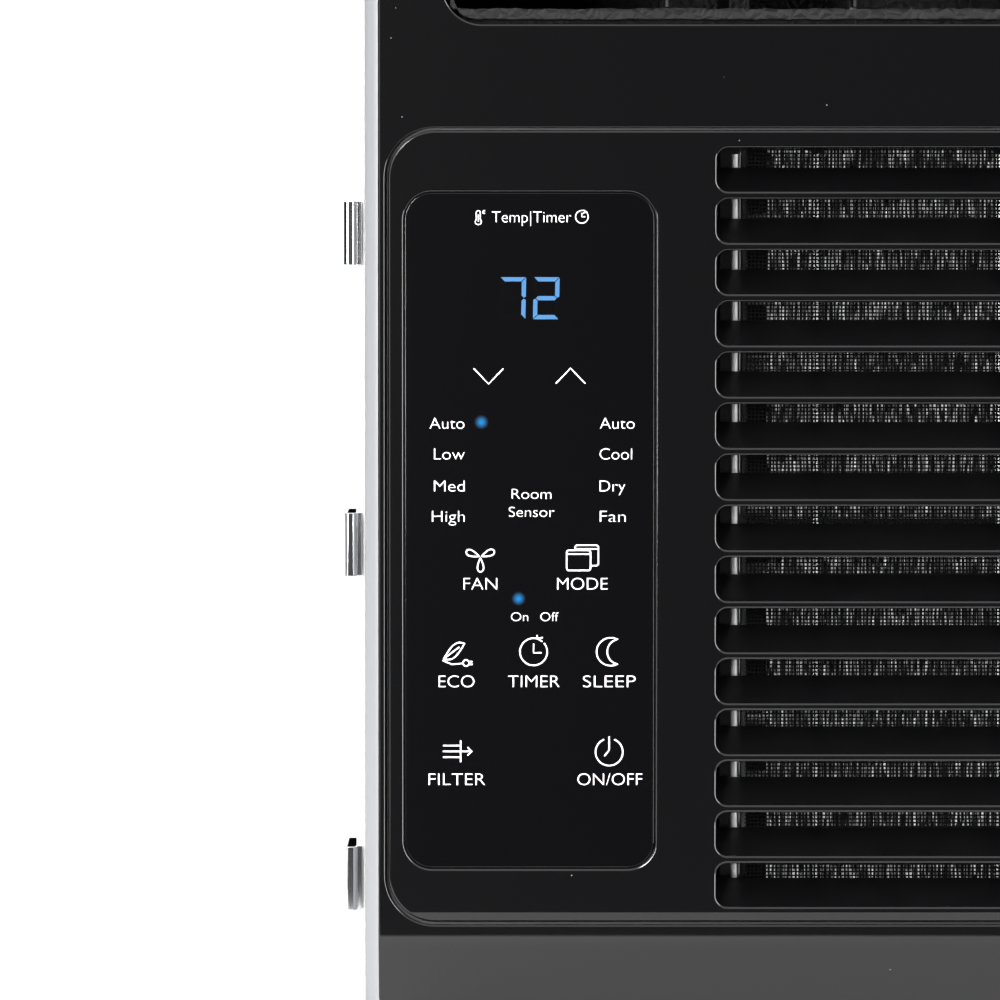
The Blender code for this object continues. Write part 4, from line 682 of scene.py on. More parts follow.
@cache
def moulded_rubber():
    """Matt black rubber with a chalky bloom."""
    return patterned("moulded rubber", linear("#060607"), 0.8, size=5, detail=4.0,
                     mix=("#030303", "#080809"), more={"Specular IOR Level": 0.0})


@cache
def circuit_board():
    """Green solder mask over copper tracks 1.2 mm apart."""
    material, tree, shader, where = begin("green solder mask", linear("#0E5A2C"), 0.35)
    tracks = add(tree, "ShaderNodeTexBrick", {
        "Vector": where, "Scale": 1 / (9 * MM), "Mortar Size": 0.05,
        "Color1": (*linear("#0E5A2C"), 1.0), "Color2": (*linear("#126A35"), 1.0),
        "Mortar": (*linear("#3E9A50"), 1.0)})
    feed(tree, shader, {"Base Color": tracks.outputs["Color"]})
    return material


@cache
def natural_polypropylene():
    """Undyed polypropylene: milky white, slightly translucent looking."""
    return patterned("natural polypropylene", linear("#DEDDD6"), 0.45, size=25,
                     mix=("#D5D4CC", "#E6E5DF"))


@cache
def smoked_display():
    """Smoked epoxy face of the display block: dark, with a dull shine."""
    return patterned("smoked epoxy", linear("#141416"), 0.3, size=3, mix=("#101012", "#1B1B1E"))


@cache
def screen_ink():
    """Opaque white screen-printing ink, satin and a little uneven in density."""
    return patterned("white screen ink", tuple(bpy.context.scene.ac_print.ink), 0.4, size=1.2,
                     mix=("#E2E2E2", "#FFFFFF"))


@cache
def lit_segment():
    """Lit blue light-emitting segment, even across its face."""
    colour = tuple(bpy.context.scene.ac_print.lamp)
    return patterned("lit blue segment", colour, 0.4, size=2, mix=("#0A1A26", "#0C2030"),
                     glow=(0.8, 1.0), more={"Emission Color": (*colour, 1.0)})


@cache
def lamp_glow():
    """Small blue lamp behind the film: bright in the middle, fading into the black."""
    colour = tuple(bpy.context.scene.ac_print.lamp)
    material, tree, shader, _ = begin("blue lamp glow", linear("#040405"), 0.16,
                                      more={"Emission Color": (*colour, 1.0)})
    glow = add(tree, "ShaderNodeAttribute", attribute_name="glow")
    bright = add(tree, "ShaderNodeMath", {0: glow.outputs["Fac"], 1: 1.1}, operation="MULTIPLY")
    feed(tree, shader, {"Emission Strength": bright.outputs["Value"]})
    return material


@cache
def dark_segment():
    """Unlit segment, hardly seen through the smoked film."""
    return patterned("unlit segment", linear("#040405"), 0.1, size=2, mix=("#030304", "#060607"))


@cache
def studio_floor():
    """Pale seamless paper with a faint tooth."""
    return patterned("pale seamless paper", linear("#F4F4F3"), 0.7, size=3, relief=(0.05, 0.1))
# ---------------------------------------------------------------- front
def face_back(z):
    """How far the front's face lies behind its flat, at a height: chin below, round edge above."""
    edge, ease = 6 * MM, 4 * MM
    back = 0.0
    if z < CHIN_TOP:
        drop = CHIN_TOP - z
        run = drop * drop / (2 * ease) if drop < ease else drop - ease / 2
        back += bpy.context.scene.ac_moulding.chin_slope * run
    for beyond in (FRAME_LOW.z + edge - z, z - FRAME_HIGH.z + edge):
        if beyond > 0:
            back += edge - math.sqrt(max(edge * edge - beyond ** 2, 0.0))
    return back


def front_outline(inset=0.0):
    """Outline of the front, drawn in by an inset."""
    return around(FRAME_LOW, FRAME_HIGH, -inset, 10 * MM - inset, 10)


def outlet_outline():
    """Clear opening of the outlet, lined up on the duct behind it."""
    side, drop, height, corner = 7.5 * MM, 6.0 * MM, 56.8 * MM, 11.5 * MM
    top = DUCT_HIGH.z - drop
    return rounded(DUCT_LOW.x + side, DUCT_HIGH.x - side, top - height, top, corner, 12)


def bent(mesh, levels, back):
    """Cuts an upright plate at each level and sets its points back by their height."""
    with edited(mesh) as bm:
        for z in levels:
            bmesh.ops.bisect_plane(bm, geom=bm.verts[:] + bm.edges[:] + bm.faces[:],
                                   plane_co=(0, 0, z), plane_no=(0, 0, 1))
        for vertex in bm.verts:
            vertex.co.y += back(vertex.co.z)
    return mesh


def bent_face(mesh):
    """Lays the front's flat plate along the chin and the top edge."""
    levels = [CHIN_TOP - i * 0.5 * MM for i in range(9)]
    levels += [FRAME_LOW.z + (0.3 + 0.9 * i) * MM for i in range(8)]
    levels += [FRAME_HIGH.z - (0.2 + 0.85 * i) * MM for i in range(8)]
    return bent(mesh, levels, face_back)


def skirt_mesh():
    """The walls that run back from the face into the case."""
    settings = bpy.context.scene.ac_moulding
    wall, edge = settings.wall, settings.edge
    outer = finer(front_outline(0.02 * MM), 4 * MM)
    inner = finer(front_outline(wall), 4 * MM)
    rings = []
    for outline, y in ((outer, FRONT_Y + edge), (outer, FRAME_HIGH.y), (inner, FRAME_HIGH.y),
                       (inner, FRONT_Y + wall * 0.9)):
        if y == FRAME_HIGH.y:
            rings.append([(u, y, v) for u, v in outline])
        else:
            rings.append([(u, y + face_back(v), v) for u, v in outline])
    vertices = []
    offsets = []
    for ring in rings:
        offsets.append(len(vertices))
        vertices += ring
    faces = []
    for first, second in ((0, 1), (1, 2), (2, 3), (3, 0)):
        count = len(rings[first])
        for i in range(count):
            j = (i + 1) % count
            faces.append([offsets[first] + i, offsets[first] + j,
                          offsets[second] + j, offsets[second] + i])
    return mesh_of(vertices, faces)


class AC_OT_front_moulding(bpy.types.Operator):
    """Black front: flat face with the outlet and panel openings, sloping chin and skirt"""
    bl_idname = "ac.front_moulding"
    bl_label = "Front moulding"

    def execute(self, context):
        settings = context.scene.ac_moulding
        fit = 0.45 * MM
        opening = around(PANEL_LOW, PANEL_HIGH, fit, PANEL_CORNER + fit, 16)
        face = plate_mesh([front_outline(), opening, outlet_outline()], FRONT_Y,
                          FRONT_Y + settings.wall, settings.edge)
        face = bent_face(face)
        slot_low, slot_high = NET_LOW.z - 3.8 * MM, NET_HIGH.z + 3.8 * MM
        gap = box_mesh((FRAME_HIGH.x - 6 * MM, NET_LOW.y - 1 * MM, slot_low),
                       (FRAME_HIGH.x + 6 * MM, NET_HIGH.y + 4.5 * MM, slot_high))
        skirt = without(skirt_mesh(), gap)
        piece("front_moulding", gathered([face, skirt]), polished_abs(),
              replaces=["front_frame"], flats=True)
        rails_and_ledge()
        return {"FINISHED"}


def rails_and_ledge():
    """Ledge that the panel seats on and the two channels that the filter runs in."""
    inner = 7 * MM
    y = PANEL_LOW.y + 3.1 * MM
    rim = rounded(FRAME_LOW.x + 1.2 * MM, FRAME_HIGH.x - 1.2 * MM, PANEL_LOW.z - 4 * MM,
                  PANEL_HIGH.z + 4 * MM, 3 * MM, 6)
    hole = rounded(PANEL_LOW.x + inner, PANEL_HIGH.x - inner, PANEL_LOW.z + 3.4 * MM,
                   PANEL_HIGH.z - 3.6 * MM, 7 * MM, 6)
    ledge = plate_mesh([rim, hole], y, y + 2 * MM, 0.3 * MM)
    piece("panel_ledge", ledge, satin_polypropylene())
    y0, y1 = NET_LOW.y - 0.6 * MM, FILTER_HIGH.y - 4.5 * MM
    wall = 2 * MM
    for name, closed, opened, out in (("filter_channel_lower", BORDER_FOOT - 0.3 * MM,
                                       BORDER_FOOT + 3.6 * MM, -1),
                                      ("filter_channel_upper", BORDER_TOP + 0.3 * MM,
                                       BORDER_TOP - 1.9 * MM, 1)):
        back = closed + out * wall
        outline = [(y0 - wall, back), (y1 + wall, back), (y1 + wall, opened), (y1, opened),
                   (y1, closed), (y0, closed), (y0, opened), (y0 - wall, opened)]
        half = FRAME_HIGH.x - 1.5 * MM
        mesh = prism_mesh(outline, "X", -half, half)
        piece(name, mesh, satin_polypropylene(), bevel=0.25 * MM)


def slot_tops():
    """Height of each slot's upper edge, the first slot above."""
    settings = bpy.context.scene.ac_grille
    top = PANEL_HIGH.z - SLOT_HEAD
    return [top - i * settings.pitch for i in range(settings.slots)]


def slot_ends():
    """Left and right ends of the slots."""
    return FRAME_LOW.x + SLOT_LEFT, FRAME_HIGH.x - SLOT_RIGHT


class AC_OT_intake_grille(bpy.types.Operator):
    """Inset intake panel: slotted plate, end walls and sloping blades"""
    bl_idname = "ac.intake_grille"
    bl_label = "Intake grille"

    def execute(self, context):
        settings = context.scene.ac_grille
        wall = 2.8 * MM
        fit = 0.3 * MM
        left, right = slot_ends()
        gap = 0.3 * MM
        rim = around(PANEL_LOW, PANEL_HIGH, -gap, PANEL_CORNER, 16)
        window = around(OVERLAY_LOW, OVERLAY_HIGH, fit, 8.2 * MM, 14)
        holes = [rounded(left, right, top - settings.slot_height, top, 3.2 * MM, 8)
                 for top in slot_tops()]
        plate = plate_mesh([rim, window] + holes, FRONT_Y, FRONT_Y + wall, settings.edge)
        level, lean = PANEL_LOW.z + 3.2 * MM, 0.3
        plate = bent(plate, [level], lambda z: max(level - z, 0.0) * lean)
        floor = prism_mesh(around(OVERLAY_LOW, OVERLAY_HIGH, 2 * MM, 9 * MM, 8), "Y",
                           FRONT_Y + 1.9 * MM, FRONT_Y + wall + 0.1 * MM)
        blade_back = 16.8 * MM
        low = slot_tops()[-1] - settings.slot_height - 1.1 * MM
        high = slot_tops()[0] + 1 * MM
        walls = [box_mesh((x, FRONT_Y + wall - 0.8 * MM, low),
                          (x + 1.8 * MM, FRONT_Y + blade_back - 0.4 * MM, high))
                 for x in (left - 2.2 * MM, right + 0.4 * MM)]
        piece("intake_plate", gathered([plate, floor] + walls), polished_abs(),
              replaces=["intake_panel"], flats=True)
        rise, depth = 7.6 * MM, blade_back - 1.2 * MM
        bar = settings.pitch - settings.slot_height
        first = slot_tops()[0] - settings.slot_height - bar / 2 + rise / 2
        # the blades' finish is painted darker than the face, as their shade behind the slots
        blades = grow(blades_tree(), {
            "Count": settings.slots, "Length": right - left + 2.4 * MM,
            "First": (left - 1.2 * MM, FRONT_Y + 1.2 * MM + depth / 2, first),
            "Step": (0.0, 0.0, -settings.pitch), "Depth": math.hypot(depth, rise),
            "Wall": 1.6 * MM, "Slope": math.atan2(rise, depth), "Material": blade_shade_black()})
        piece("intake_blades", blades, blade_shade_black())
        return {"FINISHED"}


# ---------------------------------------------------------------- touch panel print
def print_point(x, z):
    """A place on the touch panel, from millimetres off its centre."""
    middle = (OVERLAY_LOW + OVERLAY_HIGH) / 2
    return middle.x + x * MM, middle.z + z * MM


PRINT_DEPTH = 0.04 * MM


def upright(mesh, x, z, lift=0.0):
    """Stands a flat drawing, made in millimetres on XY, on the touch panel's face."""
    px, pz = print_point(x, z)
    y = OVERLAY_LOW.y - lift
    mesh.transform(Matrix(((MM, 0, 0, px), (0, 0, -MM, y), (0, MM, 0, pz), (0, 0, 0, 1))))
    return mesh


def word_mesh(text, height, width):
    """A word as a thin solid, with its capitals' height and its full width in millimetres."""
    curve = bpy.data.curves.new("word", "FONT")
    curve.body = text
    curve.size = 1.0
    curve.extrude = 0.01
    curve.offset = -0.015
    mesh = plain_mesh(link("word", curve))
    capital = bpy.data.curves.new("capital", "FONT")
    capital.body = "H"
    tall = max(vertex.co.y for vertex in plain_mesh(link("capital", capital)).vertices)
    xs = [vertex.co.x for vertex in mesh.vertices]
    scale_x = width / (max(xs) - min(xs))
    scale_y = height / tall
    thick = PRINT_DEPTH / MM / 0.02
    mesh.transform(Matrix.Translation((-(max(xs) + min(xs)) / 2, -tall / 2, 0)))
    mesh.transform(Matrix.Diagonal((scale_x, scale_y, thick, 1.0)))
    return mesh


WORDS = [
    ("Temp|Timer", 0.6, 92.0, 3.3, 23.2), ("Auto", -24.2, 31.6, 3.3, 10.2),
    ("Low", -23.5, 22.6, 3.3, 9.0), ("Med", -23.5, 13.2, 3.3, 9.0),
    ("High", -23.8, 4.3, 3.3, 9.6), ("Auto", 25.7, 31.6, 3.3, 10.2),
    ("Cool", 25.3, 22.6, 3.3, 9.5), ("Dry", 24.3, 13.2, 3.3, 7.5), ("Fan", 24.4, 4.3, 3.3, 7.6),
    ("Room", 0.6, 10.9, 3.0, 11.6), ("Sensor", 0.6, 5.6, 3.0, 13.4),
    ("FAN", -14.4, -15.5, 3.5, 9.9), ("MODE", 15.5, -15.5, 3.5, 14.8),
    ("On", -2.9, -25.2, 2.6, 5.0), ("Off", 5.9, -25.2, 2.6, 5.4),
    ("ECO", -21.4, -44.2, 3.5, 10.5), ("TIMER", 1.3, -44.2, 3.5, 15.1),
    ("SLEEP", 23.4, -44.2, 3.5, 15.5), ("FILTER", -21.3, -73.0, 3.5, 16.6),
    ("ON/OFF", 23.6, -73.0, 3.5, 19.0),
]


def petal(turn):
    """One blade of the fan sign: a leaf shape leaning round the hub."""
    points = []
    for i in range(17):
        t = i / 16
        swing = math.sin(math.pi * t) * 0.95
        reach = 0.3 + 4.1 * math.sin(math.pi * t / 2)
        points.append((reach, swing))
    for i in range(1, 16):
        t = 1 - i / 16
        swing = -math.sin(math.pi * t) * 0.85
        reach = 0.3 + 4.1 * math.sin(math.pi * t / 2)
        points.append((reach, swing))
    a = math.radians(turn)
    return [(u * math.cos(a) - v * math.sin(a), u * math.sin(a) + v * math.cos(a))
            for u, v in points]


def signs():
    """Every printed sign: (x, z, strokes), a stroke being (points, closed)."""
    drawn = []
    drawn.append((-12.0, 45.4, [([(-4.3, 2.2), (0, -2.3), (4.3, 2.2)], False)]))
    drawn.append((12.0, 45.4, [([(-4.3, -2.2), (0, 2.3), (4.3, -2.2)], False)]))
    tube = arc(0, 1.3, 0.6, 0, 180, 8) + arc(0, -1.3, 0.9, 130, 410, 14)
    drawn.append((-15.0, 91.9, [(tube, True), ([(0, 0.8), (0, -1.3)], False),
                                (arc(1.7, 1.5, 0.4, 50, 310, 10), False)]))
    drawn.append((15.3, 92.0, [(arc(0, 0, 1.85, 80, 385, 24), False),
                               ([(0, 1.1), (0, 0), (1.0, 0)], False),
                               ([(0.3, 1.0), (1.5, 1.6)], False),
                               ([(0.5, 2.0), (1.7, 1.0)], False)]))
    drawn.append((-14.4, -7.6, [(petal(turn), True) for turn in (158, 22, 270)]))
    mode = [(rounded(-4.6, 2.4, -3.6, 2.3, 0.6, 3), True), ([(-4.6, 1.2), (2.4, 1.2)], False),
            ([(-2.1, 2.3), (-2.1, 3.4), (-1.7, 3.8), (4.2, 3.8), (4.7, 3.4), (4.7, -1.8),
              (4.2, -2.2), (2.4, -2.2)], False), ([(-1.9, 2.7), (4.7, 2.7)], False)]
    drawn.append((15.5, -8.0, mode))
    leaf = [(-3.6 + 6.2 * t, -2.0 + 4.6 * t + 1.9 * math.sin(math.pi * t)) for t in
            [i / 14 for i in range(15)]]
    leaf += [(-3.6 + 6.2 * t, -2.0 + 4.6 * t - 1.9 * math.sin(math.pi * t)) for t in
             [1 - i / 14 for i in range(1, 15)]]
    plug = [([(-3.9, -2.4), (-1.2, -3.6), (2.2, -3.3)], False),
            (arc(3.0, -3.2, 0.9, 0, 360, 32), True),
            ([(3.9, -2.8), (4.9, -2.8)], False), ([(3.9, -3.6), (4.9, -3.6)], False)]
    drawn.append((-21.6, -35.6, [(leaf, True), ([(-3.6, -2.0), (1.0, 1.5)], False)] + plug))
    drawn.append((1.2, -35.5, [(arc(0, 0, 4.0, 75, 400, 36), False),
                               ([(0, 2.4), (0, -0.3), (2.3, -0.3)], False),
                               ([(1.0, 4.9), (1.2, 3.8), (2.6, 3.0)], False),
                               ([(1.2, 3.8), (2.7, 4.2)], False)]))
    moon = arc(0.6, 0, 4.1, 62, 298, 26) + arc(3.3, 0, 3.7, 262, 98, 22)
    drawn.append((23.2, -35.5, [(moon, True)]))
    drawn.append((-21.2, -64.8, [([(-4.2, 1.7), (0.8, 1.7)], False), ([(-4.2, 0), (4.2, 0)], False),
                                 ([(-4.2, -1.7), (0.8, -1.7)], False),
                                 ([(1.0, 3.2), (1.0, -3.2)], False),
                                 ([(3.0, 1.2), (4.3, 0), (3.0, -1.2)], False)]))
    drawn.append((23.4, -64.8, [(arc(0, -0.2, 4.0, 112, 428, 36), False),
                                ([(0, 4.4), (0, 0.4)], False), ([(0, 0.4), (-1.4, -1.4)], False)]))
    return drawn


def stroke_mesh(points, closed, width):
    """A line of ink: a round-ended run pressed flat, in millimetres."""
    curve = bpy.data.curves.new("stroke", "CURVE")
    curve.dimensions = "3D"
    curve.bevel_depth = width / 2
    curve.bevel_resolution = 2
    curve.use_fill_caps = True
    spline = curve.splines.new("POLY")
    spline.points.add(len(points) - 1)
    spline.use_cyclic_u = closed
    for point, (u, v) in zip(spline.points, points):
        point.co = (u, v, 0.0, 1.0)
    mesh = plain_mesh(link("stroke", curve))
    mesh.transform(Matrix.Diagonal((1.0, 1.0, PRINT_DEPTH / MM / width, 1.0)))
    return mesh


def digit_bars(width, height, wide, gap):
    """Outlines of the seven mitred bars of a digit, in millimetres from its middle."""
    u, v = width / 2, height / 2
    top = [(-u + gap, v), (u - gap, v), (u - wide - gap, v - wide), (-u + wide + gap, v - wide)]
    side = [(u, v - gap), (u, gap + wide / 4), (u - wide / 2, gap), (u - wide, wide / 2 + gap),
            (u - wide, v - wide - gap)]
    middle = [(-u + wide / 2 + gap, 0), (-u + wide + gap, wide / 2), (u - wide - gap, wide / 2),
              (u - wide / 2 - gap, 0), (u - wide - gap, -wide / 2), (-u + wide + gap, -wide / 2)]
    return {"a": top, "b": side, "c": [(x, -z) for x, z in side], "d": [(x, -z) for x, z in top],
            "e": [(-x, -z) for x, z in side], "f": [(-x, z) for x, z in side], "g": middle}


def digit_meshes(lit, x, z):
    """The lit and unlit bars of one digit, leaning a little to the right."""
    lean = 0.02
    groups = {True: [], False: []}
    for name, outline in digit_bars(width=7.6, height=12.3, wide=1.25, gap=0.14).items():
        leaning = [(u + v * lean, v) for u, v in outline]
        bar = prism_mesh(leaning, "Z", -PRINT_DEPTH / MM / 2, PRINT_DEPTH / MM / 2)
        groups[name in lit].append(upright(bar, x, z, PRINT_DEPTH / 2))
    return groups


def glow_mesh(places, radius):
    """Round lamps shining through the film, brightest in the middle."""
    vertices, faces, glow = [], [], []
    steps, rings = 32, 6
    for x, z in places:
        px, pz = print_point(x, z)
        y = OVERLAY_LOW.y - PRINT_DEPTH
        start = len(vertices)
        vertices.append((px, y, pz))
        glow.append(1.0)
        for k in range(1, rings + 1):
            reach = radius * MM * k / rings
            vertices += [(px + reach * math.cos(2 * math.pi * i / steps), y,
                          pz + reach * math.sin(2 * math.pi * i / steps)) for i in range(steps)]
            glow += [0.5 + 0.5 * math.cos(math.pi * k / rings)] * steps
        for i in range(steps):
            j = (i + 1) % steps
            faces.append((start, start + 1 + i, start + 1 + j))
            for k in range(rings - 1):
                near, far = start + 1 + k * steps, start + 1 + (k + 1) * steps
                faces.append((near + i, far + i, far + j, near + j))
    mesh = bpy.data.meshes.new("glow")
    mesh.from_pydata(vertices, [], faces)
    mesh.attributes.new("glow", "FLOAT", "POINT").data.foreach_set("value", glow)
    return mesh


class AC_OT_touch_panel(bpy.types.Operator):
    """Touch panel film with its printed words and signs, lit digits and dots"""
    bl_idname = "ac.touch_panel"
    bl_label = "Touch panel"

    def execute(self, context):
        settings = context.scene.ac_print
        film = plate_mesh([around(OVERLAY_LOW, OVERLAY_HIGH, 0.0, 7.9 * MM, 14)],
                          OVERLAY_LOW.y, OVERLAY_HIGH.y, 0.2 * MM)
        piece("touch_film", film, printed_film(),
              replaces=["control_overlay"])
        words = [upright(word_mesh(text, height, width), x, z)
                 for text, x, z, height, width in WORDS]
        piece("printed_words", gathered(words), screen_ink())
        width = settings.stroke / MM
        marks = []
        for x, z, strokes in signs():
            thin = 0.3 if z > 90 else width
            marks += [upright(stroke_mesh(points, closed, thin), x, z)
                      for points, closed in strokes]
        piece("printed_signs", gathered(marks), screen_ink())
        lit, dark = [], []
        aside, height = 4.9, 68.2
        for bars, x in (("abc", -aside), ("abged", aside)):
            groups = digit_meshes(bars, x, height)
            lit += groups[True]
            dark += groups[False]
        dots = glow_mesh([(-14.1, 31.9), (-3.2, -19.9)], 2.1)
        piece("lamp_dots", dots, lamp_glow())
        piece("lit_segments", gathered(lit), lit_segment())
        piece("dark_segments", gathered(dark), dark_segment())
        return {"FINISHED"}


# ---------------------------------------------------------------- filter, outlet and coils
class AC_OT_air_filter(bpy.types.Operator):
    """Sliding filter: ribbed border with light grey beads as painted highlight, grip tab and woven
    net
    """
    bl_idname = "ac.air_filter"
    bl_label = "Air filter"

    def execute(self, context):
        settings = context.scene.ac_filter
        y0, y1 = NET_HIGH.y + 0.3 * MM, NET_HIGH.y + 3.5 * MM
        x0, x1 = FILTER_LOW.x, NET_HIGH.x + 3 * MM
        z0, z1 = BORDER_FOOT, BORDER_TOP
        bar, rib, pitch = 6.5 * MM, 3 * MM, 54 * MM
        edges, place = [x0 + bar], x0 + 29 * MM
        while place < x1 - bar - rib:
            edges += [place - rib / 2, place + rib / 2]
            place += pitch
        edges.append(x1 - bar)
        middle = (z0 + z1) / 2
        thin = 2.4 * MM
        rows = [(z0 + thin, middle - rib / 2), (middle + rib / 2, z1 - thin)]
        holes = [rounded(a, b, low, high, 2 * MM, 4)
                 for a, b in zip(edges[::2], edges[1::2]) for low, high in rows]
        border = plate_mesh([rounded(x0, x1, z0, z1, 2 * MM, 4)] + holes, y0, y1, 0.5 * MM)
        # beads: light grey, a painted highlight along the border's edge and ribs
        beads = [prism_mesh(arc(x, y0 + 0.7 * MM, 1.2 * MM, 0, 345, 23), "Z", z0 + 4 * MM,
                            z1 - 4 * MM) for x in [x0 + 4.6 * MM]
                 + [(a + b) / 2 for a, b in zip(edges[1:-1:2], edges[2::2])]]
        piece("filter_highlight_beads", gathered(beads), bead_painted_highlight(), body="filter")
        low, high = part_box("filter_frame")
        tab_x = FRAME_HIGH.x + 0.4 * MM
        tab = plate_tab(tab_x, high.x, (low.y + high.y) / 2, middle)
        neck = box_mesh((x1 - 2 * MM, y0 + 0.3 * MM, middle - 20 * MM),
                        (tab_x + 1 * MM, y1 - 0.3 * MM, middle + 20 * MM))
        piece("filter_border", gathered([border, tab, neck]), gloss_polypropylene(),
              body="filter", replaces=["filter_frame"])
        radius = settings.thread / 2
        step = settings.thread_pitch
        tree = threads_tree()
        left, foot = NET_LOW.x + 4.3 * MM, NET_LOW.z - 2 * MM
        wide, tall = NET_HIGH.x - left, NET_HIGH.z + 2 * MM - foot
        centre = Vector(((NET_HIGH.x + left) / 2, (NET_LOW.y + NET_HIGH.y) / 2, foot + tall / 2))
        uprights = grow(tree, {
            "Count": int(wide / step), "First": (left + step / 2, centre.y, centre.z),
            "Step": (step, 0.0, 0.0), "Length": tall, "Radius": radius,
            "Turn": (0.0, 0.0, 0.0), "Material": nylon_net()})
        levels = grow(tree, {
            "Count": int(tall / step), "First": (centre.x, centre.y - radius, foot + step / 2),
            "Step": (0.0, 0.0, step), "Length": wide, "Radius": radius,
            "Turn": (0.0, math.pi / 2, 0.0), "Material": nylon_net()})
        piece("filter_net", gathered([uprights, levels]), nylon_net(), body="filter",
              replaces=["filter_mesh"], angle=80)
        return {"FINISHED"}


def plate_tab(x0, x1, y, z):
    """Finger grip: a rounded plate with three ridges."""
    outline = rounded(y - 7 * MM, y + 7 * MM, z - 30 * MM, z + 30 * MM, 3 * MM, 8)
    plate = prism_mesh(outline, "X", x0, x1 - 0.7 * MM)
    ridges = [prism_mesh(arc(y + (i - 1) * 3.5 * MM, 0, 0.8 * MM, 0, 345, 15), "Z",
                         z - 22 * MM, z + 22 * MM) for i in range(3)]
    for ridge in ridges:
        ridge.transform(Matrix(((0, 1, 0, x1 - 0.8 * MM), (1, 0, 0, 0), (0, 0, 1, 0),
                                (0, 0, 0, 1))))
    return gathered([plate] + ridges)


class AC_OT_coils(bpy.types.Operator):
    """Both coils: thin aluminium fins, their collars round the tubes"""
    bl_idname = "ac.coils"
    bl_label = "Coils"

    def execute(self, context):
        settings = context.scene.ac_filter
        tree = bars_tree()
        for name, bare in (("evaporator", 7 * MM), ("condenser", 2 * MM)):
            low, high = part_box(f"{name}_fins")
            first, last = low.x + bare, high.x - bare
            count = int((last - first) / settings.fin_pitch)
            centre = (low + high) / 2
            # the fins' finish paints their shade and bright glints, and the glints glow
            fins = grow(tree, {
                "Count": count, "First": (first, centre.y, centre.z),
                "Step": (settings.fin_pitch, 0.0, 0.0),
                "Bar": (0.5 * MM, high.y - low.y, high.z - low.z - 1 * MM),
                "Material": fin_painted_glints()})
            piece(f"{name}_fin_pack", fins, fin_painted_glints(),
                  replaces=[f"{name}_fins"])
            radius, margin, pitch = 3.6 * MM, 10 * MM, 21 * MM
            rows = int((high.z - low.z - 2 * margin) / pitch)
            tubes = [prism_mesh(arc(centre.y, low.z + margin + i * pitch, radius, 0, 340, 17),
                                "X", low.x, high.x) for i in range(rows)]
            piece(f"{name}_collars", gathered(tubes), mill_aluminium())
        return {"FINISHED"}


def torn(outline, seed, depth):
    """The same outline, uneven as if cut from foam by hand."""
    chance = random.Random(seed)
    return [(u + chance.uniform(-depth, depth), v + chance.uniform(-depth, depth))
            for u, v in outline]


class AC_OT_outlet(bpy.types.Operator):
    """Foam outlet duct with its uneven front lip"""
    bl_idname = "ac.outlet"
    bl_label = "Outlet"

    def execute(self, context):
        x0, x1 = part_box("louvre_lower")[0].x - 3 * MM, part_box("louvre_lower")[1].x + 3 * MM
        z0, z1 = DUCT_LOW.z + DUCT_WALL - 1.1 * MM, DUCT_HIGH.z - 10.3 * MM
        hole = finer(rounded(x0, x1, z0, z1, 2 * MM, 4), 2.5 * MM)
        rim = around(DUCT_LOW, DUCT_HIGH, 0.0, 2 * MM, 4)
        lip_back = DUCT_LOW.y + 7 * MM
        tube = plate_mesh([rim, hole], lip_back, DUCT_HIGH.y, 0.8 * MM)
        side, foot = 10.2 * MM, 2.8 * MM
        outer = finer(rounded(DUCT_LOW.x + side, DUCT_HIGH.x - side, z0 - foot,
                              DUCT_HIGH.z - 2 * MM, 7 * MM, 8), 2.5 * MM)
        lip = plate_mesh([torn(outer, 4, 0.12 * MM), torn(hole, 7, 0.25 * MM)], DUCT_LOW.y,
                         lip_back + 0.5 * MM, 0.5 * MM)
        chance = random.Random(11)
        crumbs = []
        for middle in (x0 + 62 * MM, x0 + 131 * MM, x0 + 290 * MM):
            for _ in range(7):
                size = chance.uniform(0.5, 1.1) * MM
                crumb = lathe_mesh([(0, -size)] + [(size * math.cos(math.radians(a)),
                                                    size * math.sin(math.radians(a)))
                                                   for a in (-40, 0, 40)] + [(0, size)], 7)
                crumb.transform(Matrix.Translation((middle + chance.uniform(-4, 4) * MM,
                                                    DUCT_LOW.y + chance.uniform(1.2, 4) * MM,
                                                    z0 + chance.uniform(-0.4, 0.5) * MM)))
                crumbs.append(crumb)
        piece("duct_liner", gathered([tube, lip] + crumbs), dark_foam_and_shade(),
              replaces=["outlet_duct"])
        return {"FINISHED"}


# ---------------------------------------------------------------- case and its fittings
def case_mesh():
    """Bent sheet over both flanks and the top with a rolled front edge."""
    corner, wall, hem, hem_depth = 14 * MM, 1 * MM, 4.6 * MM, 12 * MM
    half, top, foot = CASE_HIGH.x, CASE_HIGH.z, CASE_LOW.z
    path = [(-half, foot, -1.0, 0.0)]
    for side, first, last in ((-1, 180, 90), (1, 90, 0)):
        for i in range(15):
            a = math.radians(first + (last - first) * i / 14)
            path.append((side * (half - corner) + corner * math.cos(a),
                         top - corner + corner * math.sin(a), math.cos(a), math.sin(a)))
    path.append((half, foot, 1.0, 0.0))
    section = [(0.0, CASE_HIGH.y)]
    section += [(hem - u, y) for u, y in arc(0, MOUTH_Y + hem, hem, 0, -90, 12)]
    section += [(hem, MOUTH_Y + hem_depth), (wall, MOUTH_Y + hem_depth), (wall, CASE_HIGH.y)]
    count = len(section)
    vertices = [(x - nx * inset, y, z - nz * inset)
                for x, z, nx, nz in path for inset, y in section]
    faces = [list(range(count)), [len(vertices) - count + i for i in range(count)]]
    for i in range(len(path) - 1):
        for j in range(count):
            k = (j + 1) % count
            faces.append([i * count + j, i * count + k, (i + 1) * count + k, (i + 1) * count + j])
    return mesh_of(vertices, faces)


